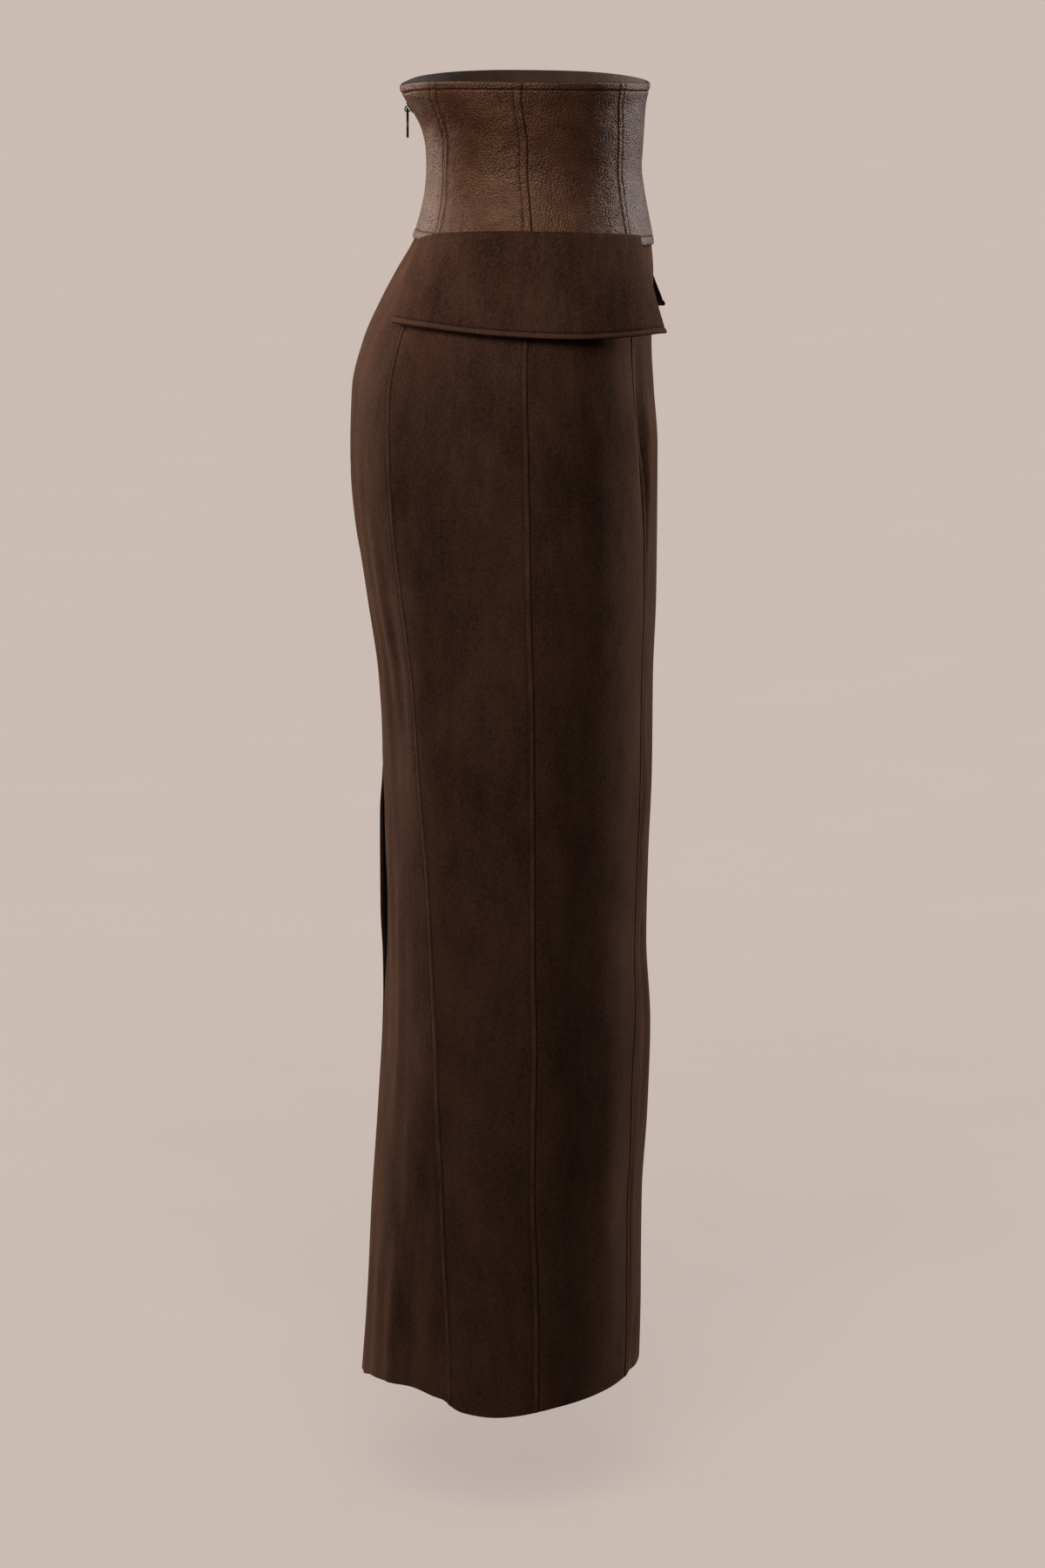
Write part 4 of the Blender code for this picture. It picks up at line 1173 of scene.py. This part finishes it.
# %% [markdown]
# ## The zip
#
# In the CAD model the meshed teeth are one plain strip. Here each tooth is rounded at the head, and the two
# rows interlock.

# %% Make the teeth
CHAIN_TOP = 45.0 * MM
CHAIN_FOOT = -228.0 * MM
TOOTH_PITCH = 1.5 * MM
TOOTH = [(-2.5, -0.45), (-2.5, 0.45), (-0.4, 0.5), (0.5, 0.42), (0.9, 0.0), (0.5, -0.42), (-0.4, -0.5)]
TOOTH_SHARP_FROM = math.radians(38)
TOOTH_RINGS = ((0.30, 0.92), (0.60, 1.0), (1.50, 1.0), (1.85, 0.80))      # height over the tape, size


def centre_back_points(aside, heights, lift):
    """Points near the centre back, at distances to the left of the centre line."""
    half = half_girth(heights)
    hand = np.where(aside < 0, -1.0, 1.0)
    return lifted(hand * (1 - np.abs(aside) / half), heights, lift)[0]


def tape_lift(heights):
    """The tape's face: close behind the leather, and lower down close behind the suede."""
    suede_top = float(waist_foot(1.0)) + SEAM_LAP
    part = ease(-heights, -(suede_top + 10 * MM), -(suede_top + 2 * MM))
    return -SEAM_GAP + SUEDE_BACK * part


def make_teeth():
    """Both rows of teeth as one mesh."""
    points, faces = [], []
    levels = np.arange(CHAIN_TOP - 1 * MM, CHAIN_FOOT + 1 * MM, -TOOTH_PITCH / 2)
    outline = np.array(TOOTH) * MM
    for number, level in enumerate(levels):
        side = 1 if number % 2 else -1
        base = sum(len(p) for p in points)
        rings = []
        for rise, shrink in TOOTH_RINGS:
            aside = outline[:, 0] * shrink * side * -1
            heights = level + outline[:, 1] * shrink
            lift = tape_lift(np.full(len(outline), level)) + rise * MM
            rings.append(centre_back_points(aside, heights, lift))
        points.append(np.concatenate(rings))
        n = len(outline)
        loop = list(range(n))
        faces.append([base + i for i in loop])
        faces.append([base + 3 * n + i for i in reversed(loop)])
        for r in range(3):
            for i in loop:
                j = (i + 1) % n
                ring = base + r * n
                faces.append([ring + i, ring + n + i, ring + n + j, ring + j])
    return np.concatenate(points), faces, len(levels)


tooth_points, tooth_faces, tooth_count = make_teeth()
teeth = mesh_object("zip_teeth", tooth_points, tooth_faces, METAL)
teeth.data.set_sharp_from_angle(angle=TOOTH_SHARP_FROM)
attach(teeth, "garment")
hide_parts("zip_chain")
print(tooth_count, "teeth, a tooth every", TOOTH_PITCH / MM, "mm on each side")

# %% [markdown]
# The tapes, the slider and the pull keep their CAD shapes and get the finished materials. A Bevel modifier
# softens their edges and leaves the CAD mesh alone.

# %% Finish the tapes, the slider and the pull
BEVEL_FROM = math.radians(35)
for name, material, soften in (("zip_tape_right", TAPE_CLOTH, 0.2), ("zip_tape_left", TAPE_CLOTH, 0.2),
                               ("zip_slider", METAL, 0.22), ("zip_pull", METAL, 0.3)):
    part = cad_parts[name]
    for slot in part.material_slots:
        slot.material = material
    bevel = part.modifiers.new("soft edges", "BEVEL")
    bevel.width = soften * MM
    bevel.segments = 2
    bevel.limit_method = "ANGLE"
    bevel.angle_limit = BEVEL_FROM
    print(name, "has", material.name)

# %% [markdown]
# ## Floor and light
#
# The studio is a pale floor that fills the whole picture, since the camera looks down a little. The camera
# sees floor and world in their full pale colour, while the light that they throw back on the skirt is kept
# low, as in a large dark studio.

# %% Floor and world
FLOOR_HEIGHT = -1.165
BACKDROP = (0.597, 0.508, 0.456, 1.0)
FLOOR_GLOW = 0.808
AMBIENT = (0.060, 0.053, 0.048, 1.0)
FLOOR_REACH = 160.0
FLOOR_COLOURS = (0.385, 0.328, 0.300, 1.0), (0.400, 0.340, 0.311, 1.0)
GLOW_COLOURS = (0.597, 0.513, 0.464, 1.0), (0.603, 0.518, 0.469, 1.0)
FLOOR_BOUNCE = (0.16, 0.14, 0.125, 1.0)


def split_for_camera(tree, output, bounced, seen):
    """The camera sees one shader, and all other light meets another."""
    path = add_node(tree, "LightPath")
    both = add_node(tree, "MixShader", {0: path.outputs["Is Camera Ray"], 1: bounced.outputs[0],
                                        2: seen.outputs[0]})
    tree.links.new(both.outputs[0], tree.nodes[output].inputs["Surface"])


floor_material, floor_tree, floor_shader = start_material(
    "studio_floor", Roughness=1.0, Specular_IOR_Level=0.0, Emission_Strength=FLOOR_GLOW)
speckle = add_node(floor_tree, "TexNoise", {"Vector": object_place(floor_tree), "Scale": 3.0, "Detail": 2.0})
grain = ramp(floor_tree, speckle.outputs["Fac"], 0.3, 0.7)
feed(floor_tree, floor_shader, {"Base Color": mix_colours(floor_tree, grain, *FLOOR_COLOURS),
                                "Emission Color": mix_colours(floor_tree, grain, *GLOW_COLOURS)})
bounce = add_node(floor_tree, "BsdfDiffuse", {"Color": FLOOR_BOUNCE})
split_for_camera(floor_tree, "Material Output", bounce, floor_shader)
corners = [(x * FLOOR_REACH, y * FLOOR_REACH, FLOOR_HEIGHT) for x, y in ((-1, -1), (1, -1), (1, 1), (-1, 1))]
floor = mesh_object("floor", np.array(corners), [(0, 1, 2, 3)], floor_material)

world = bpy.data.worlds.new("studio")
world.use_nodes = True
sky = world.node_tree
sky.nodes["Background"].inputs["Color"].default_value = AMBIENT
backdrop = add_node(sky, "Background", {"Color": BACKDROP})
split_for_camera(sky, "World Output", sky.nodes["Background"], backdrop)
bpy.context.scene.world = world
bpy.context.scene.view_settings.view_transform = "Standard"

# %% [markdown]
# The key light is a very broad sun behind the camera. It lights the whole floor evenly and casts a soft
# shadow. Tall soft boxes stand beside and behind the skirt and graze the leather's grain and the nap. The
# two fills are not mirrored in the leather.

# %% Lights
SUN_FROM = (-0.83, 0.05, 0.54)
SUN_POWER = 1.25
SUN_ANGLE = math.radians(30)
SUN_COLOUR = (1.0, 0.96, 0.92)
BOXES_AIM = Vector((0.0, 0.0, -0.3))


def turn_towards(direction):
    """The rotation that points a lamp along a direction."""
    return direction.to_track_quat("-Z", "Y").to_euler()


sun = bpy.data.lights.new("key", "SUN")
sun.energy = SUN_POWER
sun.angle = SUN_ANGLE
sun.color = SUN_COLOUR
sun_lamp = add_object("key", sun)
sun_lamp.rotation_euler = turn_towards(-Vector(SUN_FROM))

SoftBox = namedtuple("SoftBox", "name place size power colour mirrored")
SOFT_BOXES = [SoftBox(*row) for row in (
    ("left_box", (-2.5, 3.1, 1.7), (2.0, 4.0), 104, (1.0, 0.92, 0.84), True),
    ("front_box", (1.8, -2.2, 0.8), (1.8, 2.8), 44, (0.78, 0.90, 1.0), True),
    ("rear_box", (2.3, 1.9, 0.8), (1.6, 2.8), 28, (1.0, 0.93, 0.87), True),
    ("front_fill", (2.0, -2.5, 0.3), (1.0, 2.6), 165, (1.0, 0.93, 0.85), False),
    ("back_fill", (2.1, 2.4, 0.5), (1.0, 2.6), 225, (1.0, 0.93, 0.85), False),
)]
not_floor = bpy.data.collections.new("lit by boxes")
not_floor.objects.link(floor)
not_floor.collection_objects[0].light_linking.link_state = "EXCLUDE"
for box in SOFT_BOXES:
    light = bpy.data.lights.new(box.name, "AREA")
    light.shape = "RECTANGLE"
    light.size, light.size_y = box.size
    light.energy = box.power
    light.color = box.colour
    lamp = add_object(box.name, light)
    lamp.location = box.place
    lamp.rotation_euler = turn_towards(BOXES_AIM - Vector(box.place))
    lamp.visible_camera = False
    lamp.visible_glossy = box.mirrored
    lamp.light_linking.receiver_collection = not_floor
    print(box.name, "at", box.place, box.power, "W")
